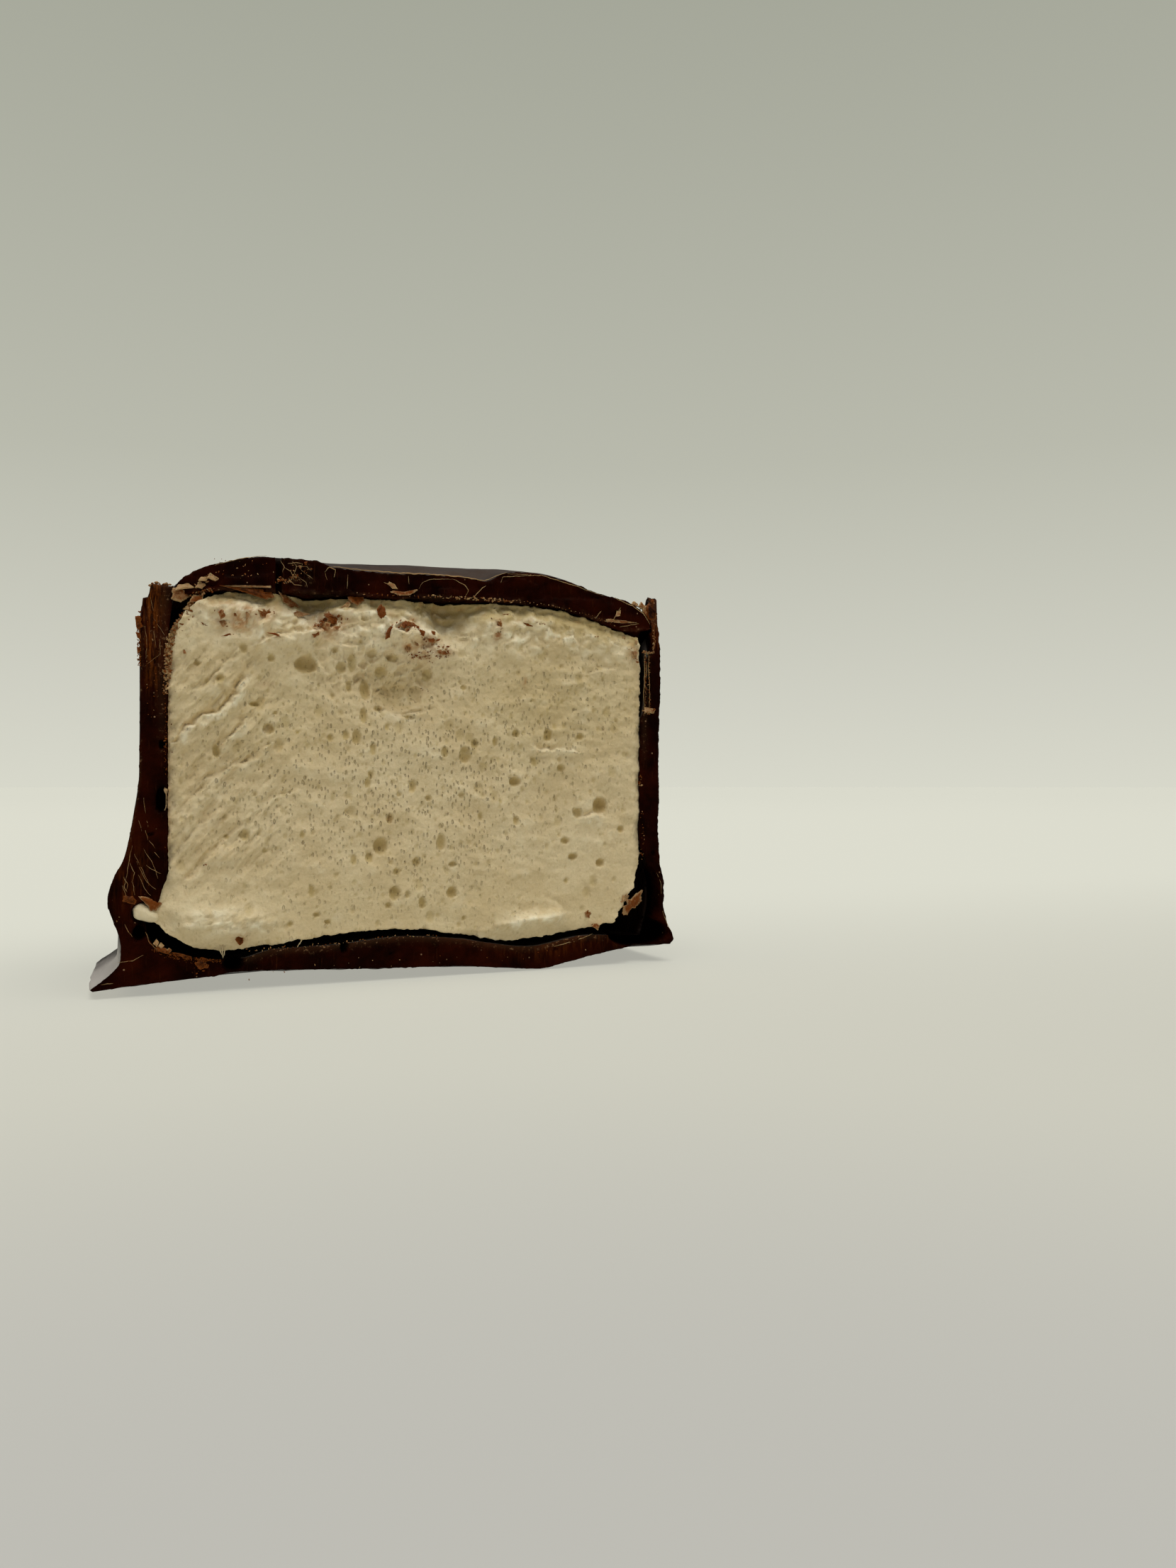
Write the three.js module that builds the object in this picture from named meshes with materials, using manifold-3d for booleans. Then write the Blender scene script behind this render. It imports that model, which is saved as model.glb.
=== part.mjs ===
// Half of a square marshmallow dipped in dark chocolate, cut down the middle with a knife.
// Millimetres, +Z up. The cut face looks along -Y and the half stands on its chocolate base.
// Everything is modelled in cut coordinates: x = 0 at the left edge of the marshmallow,
// y = 0 on the cut plane with +y into the body, z = 0 on the table. The group then puts the
// origin at the middle of the footprint.

import * as THREE from "three";
import { mergeVertices } from "three/addons/utils/BufferGeometryUtils.js";
import Module from "manifold-3d";

const wasm = await Module();
wasm.setup();

// ---- driving dimensions -------------------------------------------------------------------

const CORE_WIDTH = 38;
const CORE_DEPTH = 18.8;
const CORE_CORNER = 3.2;
const GAP = 0.3;

const FOOT_LEFT = -5.1;
const FOOT_RIGHT = 41.1;
const FOOT_BACK = 22.4;
const FACE_SWELL = 0.4;
const FOOTPRINT_CENTRE_X = (FOOT_LEFT + FOOT_RIGHT) / 2;
const FOOTPRINT_CENTRE_Y = (FOOT_BACK - FACE_SWELL) / 2;

const RIM_HEIGHT = 29.5;
const RIM_HEIGHT_RIGHT = 30.25;
const STANDING_SHARD = 0.95;
const LIP_LIFT = 0.6;
const RIM_CLEARANCE = 0.6;
const WAIST_HEIGHT = 20;
const WALL_CORNER = 5;
const FOOT_CORNER = 8.5;
const WALL_TAPER = 0.5;
const FOOT_TAPER = 0.9;
const BASE_SLOPE = 0.12;

// Outlines as [position, value] stations of smooth curves.
const WALL_LEFT = [
  [0, -4.9], [0.15, FOOT_LEFT], [0.5, -4.6], [0.95, -4.05], [1.6, -3.5], [2.4, -3.15], [3.6, -3.07],
  [7, -3.7], [8.2, -3.4], [10, -2.55], [13, -1.75], [16, -1.42], [21, -1.3], [26.5, -1.7],
  [28.5, -1.3], [RIM_HEIGHT, -0.85],
];
const WALL_RIGHT = [
  [0, 40.7], [0.5, FOOT_RIGHT], [1.3, 40.7], [2.3, 40.3], [3.6, 39.95], [6.4, 40.2], [8.3, 39.85],
  [10, 39.65], [17, 39.68], [25, 39.85], [RIM_HEIGHT, 39.65],
];
const WALL_BACK = [
  [0, 22.1], [0.3, FOOT_BACK], [1.2, 22], [2.5, 21.4], [4, 21.1], [7, 21.4], [12, 20.9], [24.5, 20.7],
  [26.5, 20.45], [28.4, 19.7],
];
const FRONT_LIFT = [
  [FOOT_LEFT, 0.55], [-2, 0.85], [3, 1.15], [5, 1.38], [15, 0.98], [22, 0.72], [26, 0.35], [29, 0.1],
  [31, 0.45], [34, 1], [38, 1.5], [FOOT_RIGHT, 1.5],
];
const CAVITY_LEFT = [
  [2.5, -0.2], [3.6, -0.9], [4.5, -1.35], [5.5, -1.45], [7, -0.5], [9, -0.35], [25, -0.35], [29, 0],
];
const CAVITY_RIGHT = [
  [2, 38.4], [5.3, 39.15], [6.8, 39.1], [8.2, 38.7], [10, 38.25], [22, 38.35], [28, 38.9], [30, 39],
];
const CAVITY_BACK = [[24, CORE_DEPTH + GAP], [26, 18.85], [28.2, 18.3], [30, 18.3]];
const BASE_TOP = [
  [-1, 3.3], [0.5, 2.8], [3, 2.3], [5, 2.3], [7.5, 2.85], [12, 2.95], [17, 3.3], [22, 2.9], [24.5, 2.4],
  [28, 1.95], [33, 2.6], [38, 2.2],
];
const CORE_LEFT = [[3, 0], [4.6, -1], [7, -0.15], [9, -0.05], [25, 0], [27, 0.5], [29, 1.6]];
const CORE_RIGHT = [[3, 35.5], [5, 36.8], [7, 37.5], [8.6, 37.95], [18, 37.9], [26, 38], [29, 36.5]];
const CORE_BOTTOM = [
  [0, 4.4], [2.5, 3.2], [5, 2.95], [8, 3.25], [17.5, 3.95], [24.5, 3.15], [28, 2.5], [38, 3.6],
];
const CORE_TOP = [
  [0, 27.6], [3, 28.7], [5, 29.1], [9.5, 28.9], [14, 29.2], [22, 28.9], [26, 29.5], [30, 29.4],
  [34, 28.45], [36, 27.9], [38, 27.3],
];
const LID_FRONT = [
  [0.5, 29.4], [1.2, 30.2], [3, 31.2], [7.4, 32.1], [10.5, 32.1], [12, 31.65], [16, 31.5], [24, 31.45],
  [26, 32.3], [28, 32.4], [31, 32], [34, 31.15], [37, 30.4], [39, 28.9],
];
const LID_CROWN = [
  [-0.8, 29.3], [0.3, 29.7], [1, 30.3], [2.3, 31.2], [5.4, 32.2], [7, 32.6], [17, 32.6], [26, 33.1],
  [29, 33.1], [32, 32.6], [35, 31.5], [37, 30.7], [39.3, 29.2],
];
const LID_UNDER = [
  [-0.8, 28.8], [0.5, 28.85], [1.5, 28.95], [4, 29.45], [14, 29.6], [24, 29.9], [30, 29.8], [33.5, 29],
  [36, 28.3], [39.3, 28.6],
];

const LID_BACK = 20.1;
const LID_CORNER = 4.2;
const LID_ROLL = 4.9;
const LID_CROWN_START = 3;
const LID_EDGE = 0.5;
const CRACK_X = 7.85;
const CRACK_REACH = 11;
const CRACK_WIDTH = 0.5;

// Open bubbles in the foam, as [x, z, half width, half height].
const BUBBLES = [
  [5.4, 11.45, 0.42, 0.42], [7.1, 19.3, 0.45, 0.45], [9.9, 24.2, 0.8, 0.6], [22.4, 17.5, 0.5, 0.65],
  [20.4, 10.6, 0.35, 0.7], [15.6, 10.4, 0.5, 0.7], [34.2, 13.4, 0.7, 0.65], [32.1, 12.8, 0.45, 0.45],
  [29.5, 19.2, 0.4, 0.5], [26.6, 15.4, 0.5, 0.45], [13.7, 18.8, 0.4, 0.6], [16.7, 6.7, 0.45, 0.6],
  [21.3, 6.6, 0.4, 0.5], [3.4, 17.6, 0.35, 0.5], [18.1, 15, 0.35, 0.5], [31, 10.5, 0.4, 0.4],
];

// ---- curves and small helpers -------------------------------------------------------------

function mix(a, b, t) {
  return a + (b - a) * t;
}

function ease(from, to, at) {
  const t = Math.min(Math.max((at - from) / (to - from), 0), 1);
  return t * t * (3 - 2 * t);
}

function mound(x, z, width, height) {
  return Math.exp(-((x / width) ** 2) - ((z / height) ** 2));
}

// A smooth curve through [position, value] stations that never overshoots them.
function curve(stations, at) {
  const last = stations.length - 1;
  if (at <= stations[0][0]) return stations[0][1];
  if (at >= stations[last][0]) return stations[last][1];
  const slope = (k) => (stations[k + 1][1] - stations[k][1]) / (stations[k + 1][0] - stations[k][0]);
  const tangent = (k) => {
    if (k === 0) return slope(0);
    if (k === last) return slope(last - 1);
    const before = slope(k - 1);
    const after = slope(k);
    return before * after <= 0 ? 0 : (2 * before * after) / (before + after);
  };
  let i = 0;
  while (at > stations[i + 1][0]) i += 1;
  const span = stations[i + 1][0] - stations[i][0];
  const t = (at - stations[i][0]) / span;
  const rest = 1 - t;
  return stations[i][1] * rest * rest * (1 + 2 * t) + stations[i + 1][1] * t * t * (3 - 2 * t)
    + span * (tangent(i) * t * rest * rest - tangent(i + 1) * t * t * rest);
}

// ---- meshes and booleans ------------------------------------------------------------------

function closedGeometry(points, triangles) {
  const geometry = new THREE.BufferGeometry();
  geometry.setAttribute("position", new THREE.Float32BufferAttribute(points.flat(), 3));
  geometry.setIndex(triangles.flat());
  return geometry;
}

function facingOut(points, triangles) {
  let volume = 0;
  for (const [a, b, c] of triangles) {
    const corner = new THREE.Vector3(...points[a]);
    const cross = new THREE.Vector3(...points[b]).cross(new THREE.Vector3(...points[c]));
    volume += corner.dot(cross);
  }
  return volume >= 0 ? triangles : triangles.map(([a, b, c]) => [a, c, b]);
}

function joinRings(triangles, ringA, ringB) {
  for (let i = 0; i < ringA.length; i += 1) {
    const next = (i + 1) % ringA.length;
    triangles.push([ringA[i], ringA[next], ringB[next]], [ringA[i], ringB[next], ringB[i]]);
  }
}

function fan(triangles, ring, pole) {
  for (let i = 0; i < ring.length; i += 1) {
    triangles.push([ring[i], ring[(i + 1) % ring.length], pole]);
  }
}

// A closed body through rings of points, shut by a pole point at each end.
function loft(startPole, rings, endPole) {
  const points = [startPole];
  const numbers = rings.map((ring) => ring.map((point) => points.push(point) - 1));
  const end = points.push(endPole) - 1;
  const triangles = [];
  fan(triangles, [...numbers[0]].reverse(), 0);
  for (let i = 1; i < numbers.length; i += 1) joinRings(triangles, numbers[i - 1], numbers[i]);
  fan(triangles, numbers[numbers.length - 1], end);
  return closedGeometry(points, facingOut(points, triangles));
}

function solid(geometry) {
  const bare = geometry.clone();
  bare.deleteAttribute("normal");
  bare.deleteAttribute("uv");
  const merged = mergeVertices(bare, 1e-5);
  const mesh = new wasm.Mesh({
    numProp: 3,
    vertProperties: Float32Array.from(merged.attributes.position.array),
    triVerts: Uint32Array.from(merged.index.array),
  });
  return new wasm.Manifold(mesh);
}

function geometryOf(manifold) {
  const { vertProperties, triVerts } = manifold.getMesh();
  const geometry = new THREE.BufferGeometry();
  geometry.setAttribute("position", new THREE.BufferAttribute(vertProperties, 3));
  geometry.setIndex(new THREE.BufferAttribute(triVerts, 1));
  return geometry;
}

function ball(centre, radii, detail = 1) {
  const geometry = new THREE.IcosahedronGeometry(1, detail);
  geometry.scale(...radii);
  geometry.translate(...centre);
  return solid(geometry);
}

function block(centre, size, turnZ = 0) {
  const geometry = new THREE.BoxGeometry(...size);
  geometry.rotateZ(turnZ);
  geometry.translate(...centre);
  return solid(geometry);
}

// ---- the chocolate case: base, walls and flared foot --------------------------------------

const SIDE_STEPS = 6;
const CORNER_STEPS = 5;
const BACK_STEPS = 9;
const FRONT_STEPS = 18;
const CASE_LEVELS = [0, 0.2, 0.55, 1.1, 1.8, 2.8, 4, 5.4, 7, 8.4, 10, 12.5, 16, 20, 24, 26.5, 28.2, RIM_HEIGHT];
const BASE_RINGS = [0.3, 0.55, 0.8];

// The case seen from above at one height: up the left side, round the back, down the right
// side and along the cut.
function planLoop(z) {
  const radius = mix(FOOT_CORNER, WALL_CORNER, ease(0, 6, z));
  const taper = mix(FOOT_TAPER, WALL_TAPER, ease(0, 6, z));
  const left = curve(WALL_LEFT, z);
  const right = curve(WALL_RIGHT, z);
  const back = curve(WALL_BACK, z);
  const straight = back - radius;
  const leftInner = left + taper + radius;
  const rightInner = right - taper - radius;
  const loop = [];
  for (let i = 0; i < SIDE_STEPS; i += 1) {
    const t = i / SIDE_STEPS;
    loop.push([left + taper * t * t, straight * t]);
  }
  for (let i = 0; i <= CORNER_STEPS; i += 1) {
    const angle = (Math.PI / 2) * (i / CORNER_STEPS);
    loop.push([leftInner - radius * Math.cos(angle), straight + radius * Math.sin(angle)]);
  }
  for (let i = 1; i < BACK_STEPS; i += 1) loop.push([mix(leftInner, rightInner, i / BACK_STEPS), back]);
  for (let i = 0; i <= CORNER_STEPS; i += 1) {
    const angle = (Math.PI / 2) * (1 - i / CORNER_STEPS);
    loop.push([rightInner + radius * Math.cos(angle), straight + radius * Math.sin(angle)]);
  }
  for (let i = 1; i <= SIDE_STEPS; i += 1) {
    const t = 1 - i / SIDE_STEPS;
    loop.push([right - taper * t * t, straight * t]);
  }
  for (let i = 1; i < FRONT_STEPS; i += 1) loop.push([mix(right, left, i / FRONT_STEPS), 0]);
  return loop;
}

// Height of the broken rim of the wall: highest at the two ends of the cut, where the lid has
// torn away from it, and lowest at the back, under the rolled edge of the lid.
function rimTop(x, y) {
  const onRight = ease(10, 30, x);
  const standingShard = STANDING_SHARD * onRight * mound(y - 0.4, 0, 0.9, 1);
  const atCut = mix(RIM_HEIGHT, RIM_HEIGHT_RIGHT, onRight) + standingShard;
  return mix(atCut, lidUnder(x, y) - RIM_CLEARANCE, ease(0.8, 3.3, y));
}

// How far the underside of the case is off the table: it slopes up to the cut edge, is flat
// under the back of the half, and the lip of the foot stands clear all round.
function footLift(x, y) {
  const beyond = Math.max(0.5 - x, x - 37.5, y - 18.8, 0);
  const lip = LIP_LIFT * ease(0, 3, beyond);
  const atCut = curve(FRONT_LIFT, x);
  const slope = atCut * Math.max(0, 1 - (y * BASE_SLOPE) / atCut) ** 1.35;
  return Math.max(slope, lip * ease(0, 4, y));
}

function caseBlock() {
  const level = (height) => planLoop(WAIST_HEIGHT).map(([waistX, waistY], i) => {
    const z = (height / RIM_HEIGHT) * rimTop(waistX, waistY);
    const [x, y] = planLoop(z)[i];
    return [x, y, z + footLift(x, y) * (1 - ease(0, 3.5, z))];
  });
  const foot = level(0);
  const middle = [CORE_WIDTH / 2, 14];
  const baseRings = BASE_RINGS.map((share) => foot.map(([footX, footY]) => {
    const x = mix(middle[0], footX, share);
    const y = mix(middle[1], footY, share);
    return [x, y, footLift(x, y)];
  }));
  const rings = [...baseRings, ...CASE_LEVELS.map(level)];
  return solid(loft([...middle, 0], rings, [...middle, RIM_HEIGHT]));
}

// A closed body behind a face outlined by four curves: its rings go back along +y and round in
// to a flat back.
function pushedBack(place, back, corner, columns, rows, frontDepths) {
  const outline = [];
  for (let i = 0; i < columns; i += 1) outline.push([i / columns, 0]);
  for (let i = 0; i < rows; i += 1) outline.push([1, i / rows]);
  for (let i = columns; i > 0; i -= 1) outline.push([i / columns, 1]);
  for (let i = rows; i > 0; i -= 1) outline.push([0, i / rows]);
  const middleX = CORE_WIDTH / 2;
  const middleZ = 16;
  const ringAt = (depth, inset) => outline.map(([u, v]) => {
    const [x, z] = place(u, v);
    const share = back(z) / back(0);
    return [
      mix(x, middleX, inset / middleX),
      depth < 0 ? depth : depth * share,
      mix(z, middleZ, inset / middleZ),
    ];
  });
  const rings = frontDepths.map((depth) => ringAt(depth, 0));
  for (const degrees of [0, 30, 60, 90]) {
    const angle = THREE.MathUtils.degToRad(degrees);
    rings.push(ringAt(back(0) - corner * (1 - Math.sin(angle)), corner * (1 - Math.cos(angle))));
  }
  return { rings, backPole: [middleX, back(0), middleZ] };
}

function caseCavity() {
  const place = (u, v) => {
    const roughX = CORE_WIDTH * u;
    const roughZ = mix(2.4, 30, v);
    const x = mix(curve(CAVITY_LEFT, roughZ), curve(CAVITY_RIGHT, roughZ), u);
    return [x, mix(curve(BASE_TOP, roughX), 31.5, v)];
  };
  const back = (z) => curve(CAVITY_BACK, z);
  const { rings, backPole } = pushedBack(place, back, CORE_CORNER, 16, 11, [-2, 0, 6]);
  const inside = solid(loft([CORE_WIDTH / 2, -2, 16], rings, backPole));
  return inside.add(block([CORE_WIDTH / 2, 7.75, 32], [36, 19.5, 6]));
}

function chocolateCase() {
  const squeezePocket = ball([-1.45, 0.6, 5.95], [1.05, 1.6, 0.95]);
  const lowHole = ball([-1.85, 0, 4.5], [0.42, 0.8, 0.5]);
  const sideHole = ball([-0.4, 0, 14.1], [0.42, 0.9, 0.9]);
  const baseNotch = block([12.8, 0, 3], [0.55, 3, 1.4]);
  const baseCrack = block([4.6, 0, 2.3], [0.9, 2.4, 0.7], 0.3);
  const cornerSplit = block([38.4, 19.8, 2], [0.6, 6, 13], -Math.PI / 4);
  return caseBlock().subtract(caseCavity()).subtract(squeezePocket).subtract(lowHole)
    .subtract(sideHole).subtract(baseNotch).subtract(baseCrack).subtract(cornerSplit);
}

// ---- the marshmallow core -----------------------------------------------------------------

const FACE_COLUMNS = 27;
const FACE_ROWS = 18;

// Depth of the cut face behind the cut plane: its edges are rounded, a torn bowl and two
// hollows open under the lid, and the lower left swells out.
function faceDepth(x, z) {
  const toEdge = Math.min(x, CORE_WIDTH - x, z - 2.8, 29.3 - z);
  const rounding = 0.5 * (1 - ease(0, 1.6, toEdge));
  const bowl = 1.3 * mound(x - 17, z - 23, 3.3, 1.9);
  const leftHollow = 1.5 * mound(x - 10, z - 28.9, 1.7, 1.3);
  const rightHollow = 1.8 * mound(x - 21, z - 28.6, 1.9, 1.7);
  const snowyRidge = 0.45 * mound(x - 18.5, z - 26.9, 2.6, 0.7);
  const swelling = FACE_SWELL * mound(x - 3.2, z - 5.4, 3, 1.6);
  return rounding + bowl + leftHollow + rightHollow - snowyRidge - swelling;
}

function corePlace(u, v) {
  const roughX = CORE_WIDTH * u;
  const roughZ = mix(3, 29.2, v);
  const x = mix(curve(CORE_LEFT, roughZ), curve(CORE_RIGHT, roughZ), u);
  return [x, mix(curve(CORE_BOTTOM, roughX), curve(CORE_TOP, roughX), v)];
}

function coreBlock() {
  const back = (z) => curve(CAVITY_BACK, z) - GAP;
  const { rings, backPole } = pushedBack(corePlace, back, CORE_CORNER, FACE_COLUMNS, FACE_ROWS, [6]);
  const points = [];
  const face = [];
  for (let row = 0; row <= FACE_ROWS; row += 1) {
    face.push([]);
    for (let column = 0; column <= FACE_COLUMNS; column += 1) {
      const [x, z] = corePlace(column / FACE_COLUMNS, row / FACE_ROWS);
      face[row].push(points.push([x, faceDepth(x, z), z]) - 1);
    }
  }
  const triangles = [];
  for (let row = 0; row < FACE_ROWS; row += 1) {
    for (let column = 0; column < FACE_COLUMNS; column += 1) {
      const a = face[row][column];
      const b = face[row][column + 1];
      const c = face[row + 1][column + 1];
      const d = face[row + 1][column];
      triangles.push([a, b, c], [a, c, d]);
    }
  }
  const bottom = face[0].slice(0, -1);
  const right = face.slice(0, -1).map((row) => row[FACE_COLUMNS]);
  const top = face[FACE_ROWS].slice(1).reverse();
  const left = face.slice(1).map((row) => row[0]).reverse();
  let previous = [...bottom, ...right, ...top, ...left];
  for (const ring of rings) {
    const numbers = ring.map((point) => points.push(point) - 1);
    joinRings(triangles, numbers, previous);
    previous = numbers;
  }
  fan(triangles, [...previous].reverse(), points.push(backPole) - 1);
  return solid(closedGeometry(points, facingOut(points, triangles)));
}

function marshmallow() {
  const squeezedOut = ball([-1.35, 0.75, 5.95], [0.75, 0.75, 0.6]);
  let core = coreBlock().add(squeezedOut);
  for (const [x, z, halfWidth, halfHeight] of BUBBLES) {
    const depth = faceDepth(x, z) + 0.35 * halfWidth;
    core = core.subtract(ball([x, depth, z], [halfWidth, halfWidth, halfHeight]));
  }
  return core;
}

// ---- the lid, broken off the walls and cracked across its left corner ---------------------

const SHARD_ROWS = [0, 1, 2, LID_CROWN_START, 4.5, 6.5, 8.5, 9.6, 10.4];
const LID_ROWS = [...SHARD_ROWS, 12.5, 14.5, 16, 17.3, 18.4, 19.3, LID_BACK];
const LID_COLUMNS = 22;
const SHARD_COLUMNS = 6;

function cornerInset(y) {
  const into = Math.max(0, y - (LID_BACK - LID_CORNER)) / LID_CORNER;
  return LID_CORNER * (1 - Math.sqrt(Math.max(0, 1 - into * into)));
}

function lidLeft(y) {
  return mix(0.5, -0.75, ease(3, 8, y)) + cornerInset(y);
}

function lidRight(y) {
  return mix(38.5, 39.25, ease(2.5, 8, y)) - cornerInset(y);
}

function crackAt(y) {
  return CRACK_X - 8.2 * (y / CRACK_REACH) ** 1.5 + 0.25 * Math.sin(2.1 * y);
}

function lidTop(x, y) {
  const roll = Math.min(Math.max(0, y - (LID_BACK - LID_ROLL)) / (LID_ROLL + 0.25), 1);
  const fallen = LID_ROLL * (1 - Math.sqrt(1 - roll * roll));
  const crown = mix(curve(LID_FRONT, x), curve(LID_CROWN, x), ease(0, LID_CROWN_START, y));
  return Math.max(crown - fallen, lidUnder(x, y) + LID_EDGE);
}

function lidUnder(x, y) {
  return curve(LID_UNDER, x) - 0.75 * ease(LID_BACK - LID_ROLL, LID_BACK, y);
}

// A slab between lidTop and lidUnder, over rows that run between two side curves.
function slab(rowDepths, columns, leftEdge, rightEdge) {
  const points = [];
  const layer = (height) => rowDepths.map((y) => {
    const row = [];
    for (let i = 0; i <= columns; i += 1) {
      const x = mix(leftEdge(y), rightEdge(y), i / columns);
      row.push(points.push([x, y, height(x, y)]) - 1);
    }
    return row;
  });
  const upper = layer(lidTop);
  const lower = layer(lidUnder);
  const triangles = [];
  for (let row = 0; row < rowDepths.length - 1; row += 1) {
    for (let i = 0; i < columns; i += 1) {
      const quad = (grid) => [grid[row][i], grid[row][i + 1], grid[row + 1][i + 1], grid[row + 1][i]];
      const [a, b, c, d] = quad(upper);
      triangles.push([a, b, c], [a, c, d]);
      const [e, f, g, h] = quad(lower);
      triangles.push([e, g, f], [e, h, g]);
    }
  }
  const boundary = (grid) => [
    ...grid[0].slice(0, -1),
    ...grid.slice(0, -1).map((row) => row[columns]),
    ...grid[grid.length - 1].slice(1).reverse(),
    ...grid.slice(1).map((row) => row[0]).reverse(),
  ];
  joinRings(triangles, boundary(lower), boundary(upper));
  return closedGeometry(points, facingOut(points, triangles));
}

function lidMain() {
  const leftEdge = (y) => (y < CRACK_REACH ? Math.max(lidLeft(y), crackAt(y) + CRACK_WIDTH / 2) : lidLeft(y));
  return slab(LID_ROWS, LID_COLUMNS, leftEdge, lidRight);
}

function lidCornerShard() {
  return slab(SHARD_ROWS, SHARD_COLUMNS, lidLeft, (y) => crackAt(y) - CRACK_WIDTH / 2);
}

// ---- the assembled half -------------------------------------------------------------------

const darkChocolate = { color: 0x2a1208, roughness: 0.38, metalness: 0 };
const foam = { color: 0xe9dfc6, roughness: 0.85, metalness: 0 };

function namedMesh(name, geometry, finish) {
  const mesh = new THREE.Mesh(geometry, new THREE.MeshStandardMaterial(finish));
  mesh.name = name;
  return mesh;
}

const half = new THREE.Group();
half.position.set(-FOOTPRINT_CENTRE_X, -FOOTPRINT_CENTRE_Y, 0);
half.add(
  namedMesh("marshmallow", geometryOf(marshmallow()), foam),
  namedMesh("chocolate_case", geometryOf(chocolateCase()), darkChocolate),
  namedMesh("chocolate_lid", lidMain(), darkChocolate),
  namedMesh("chocolate_lid_corner", lidCornerShard(), darkChocolate),
);

const part = new THREE.Group();
part.add(half);

export default part;
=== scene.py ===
"""Half of a square marshmallow dipped in dark chocolate, cut down the middle with a knife.

Shapes are worked out in millimetres in cut coordinates: x = 0 at the left edge of the foam,
y = 0 on the cut plane with +y into the body, z = 0 on the table. on_frame() takes them to metres
in the shared frame.
"""

import math

import bmesh
import bpy
import numpy as np
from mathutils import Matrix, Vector


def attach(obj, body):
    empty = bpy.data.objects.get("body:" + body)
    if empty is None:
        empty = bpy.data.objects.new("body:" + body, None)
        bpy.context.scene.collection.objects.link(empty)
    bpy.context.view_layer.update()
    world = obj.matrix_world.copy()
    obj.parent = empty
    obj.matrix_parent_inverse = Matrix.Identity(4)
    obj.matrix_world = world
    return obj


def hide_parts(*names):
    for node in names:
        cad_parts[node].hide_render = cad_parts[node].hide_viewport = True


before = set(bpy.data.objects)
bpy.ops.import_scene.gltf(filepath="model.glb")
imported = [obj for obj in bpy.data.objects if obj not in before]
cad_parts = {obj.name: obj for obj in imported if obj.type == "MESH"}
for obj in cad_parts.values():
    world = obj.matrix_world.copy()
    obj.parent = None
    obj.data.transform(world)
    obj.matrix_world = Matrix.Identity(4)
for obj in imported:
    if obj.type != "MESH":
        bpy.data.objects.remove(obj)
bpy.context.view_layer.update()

MM = 0.001
WELD = 0.0004
# Where the frame's origin is in cut coordinates, with its sign turned.
ORIGIN = np.array([-18.0, -11.0, 0.0])

# ---- driving dimensions, in millimetres ------------------------------------------------------

CORE_WIDTH = 38.0
CORE_CORNER = 3.2
CORE_BOTTOM_HEIGHT = 3.0
CORE_TOP_HEIGHT = 29.2
GAP = 0.3
FACE_SWELL = 0.4
FOREMOST = -0.9

FOOT_LEFT = -5.1
FOOT_RIGHT = 41.1
FOOT_BACK = 22.4
FOOT_CORNER = 8.5
FOOT_TAPER = 0.9
WALL_CORNER = 5.0
WALL_TAPER = 0.5
WAIST_HEIGHT = 20.0

RIM_HEIGHT = 29.5
RIM_HEIGHT_RIGHT = 30.25
STANDING_SHARD = 0.95
RIM_CLEARANCE = 0.6
RIM_CHIP = 2.0
FOOT_HEIGHT = 3.5
LIP_LIFT = 0.6
BASE_SLOPE = 0.12

LID_BACK = 20.1
LID_CORNER = 4.2
LID_ROLL = 4.9
LID_CROWN_START = 3.0
LID_EDGE = 0.5
CRACK_X = 7.85
CRACK_REACH = 11.0
CRACK_WIDTH = 0.5

# Outlines as [position, value] stations of smooth curves.
WALL_LEFT = [
    [0, -4.9], [0.15, FOOT_LEFT], [0.5, -4.6], [0.95, -4.05], [1.6, -3.5], [2.4, -3.15],
    [3.6, -3.07], [7, -3.7], [8.2, -3.4], [10, -2.55], [13, -1.75], [16, -1.42], [21, -1.3],
    [26.5, -1.7], [28.5, -1.3], [RIM_HEIGHT, -0.85],
]
WALL_RIGHT = [
    [0, 40.8], [0.5, FOOT_RIGHT], [1.3, 41.0], [2.3, 40.82], [3.6, 40.45], [4.7, 40.15], [6.4, 40.2],
    [8.3, 39.85], [10, 39.65], [17, 39.68], [25, 39.85], [RIM_HEIGHT, 39.65],
]
# Where the left wall's outer edge is on the cut itself.
EDGE_LEFT = [
    [2.4, -3.15], [3.6, -3.1], [7, -3.97], [8.2, -3.68], [10, -2.85], [13, -2.25], [16, -1.87],
    [21, -1.83], [RIM_HEIGHT, -1.85],
]
WALL_BACK = [
    [0, 22.1], [0.3, FOOT_BACK], [1.2, 22], [2.5, 21.4], [4, 21.1], [7, 21.4], [12, 20.9],
    [24.5, 20.7], [26.5, 20.45], [28.4, 19.7],
]
FRONT_LIFT = [
    [FOOT_LEFT, 0.55], [-2, 0.85], [3, 1.15], [5, 1.38], [15, 0.98], [22, 0.72], [26, 0.35],
    [29, 0.1], [31, 0.45], [34, 1], [38, 1.5], [FOOT_RIGHT, 1.5],
]
CAVITY_LEFT = [
    [2.5, -0.2], [3.6, -0.9], [4.5, -1.35], [5.5, -1.45], [7, -0.5], [9, -0.35], [25, -0.35],
    [29, 0],
]
CAVITY_RIGHT = [
    [2, 38.4], [5.3, 39.15], [6.8, 39.1], [8.2, 38.7], [10, 38.25], [22, 38.35], [28, 38.9],
    [30, 39],
]
CAVITY_BACK = [[24, 19.1], [26, 18.85], [28.2, 18.3], [30, 18.3]]
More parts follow.
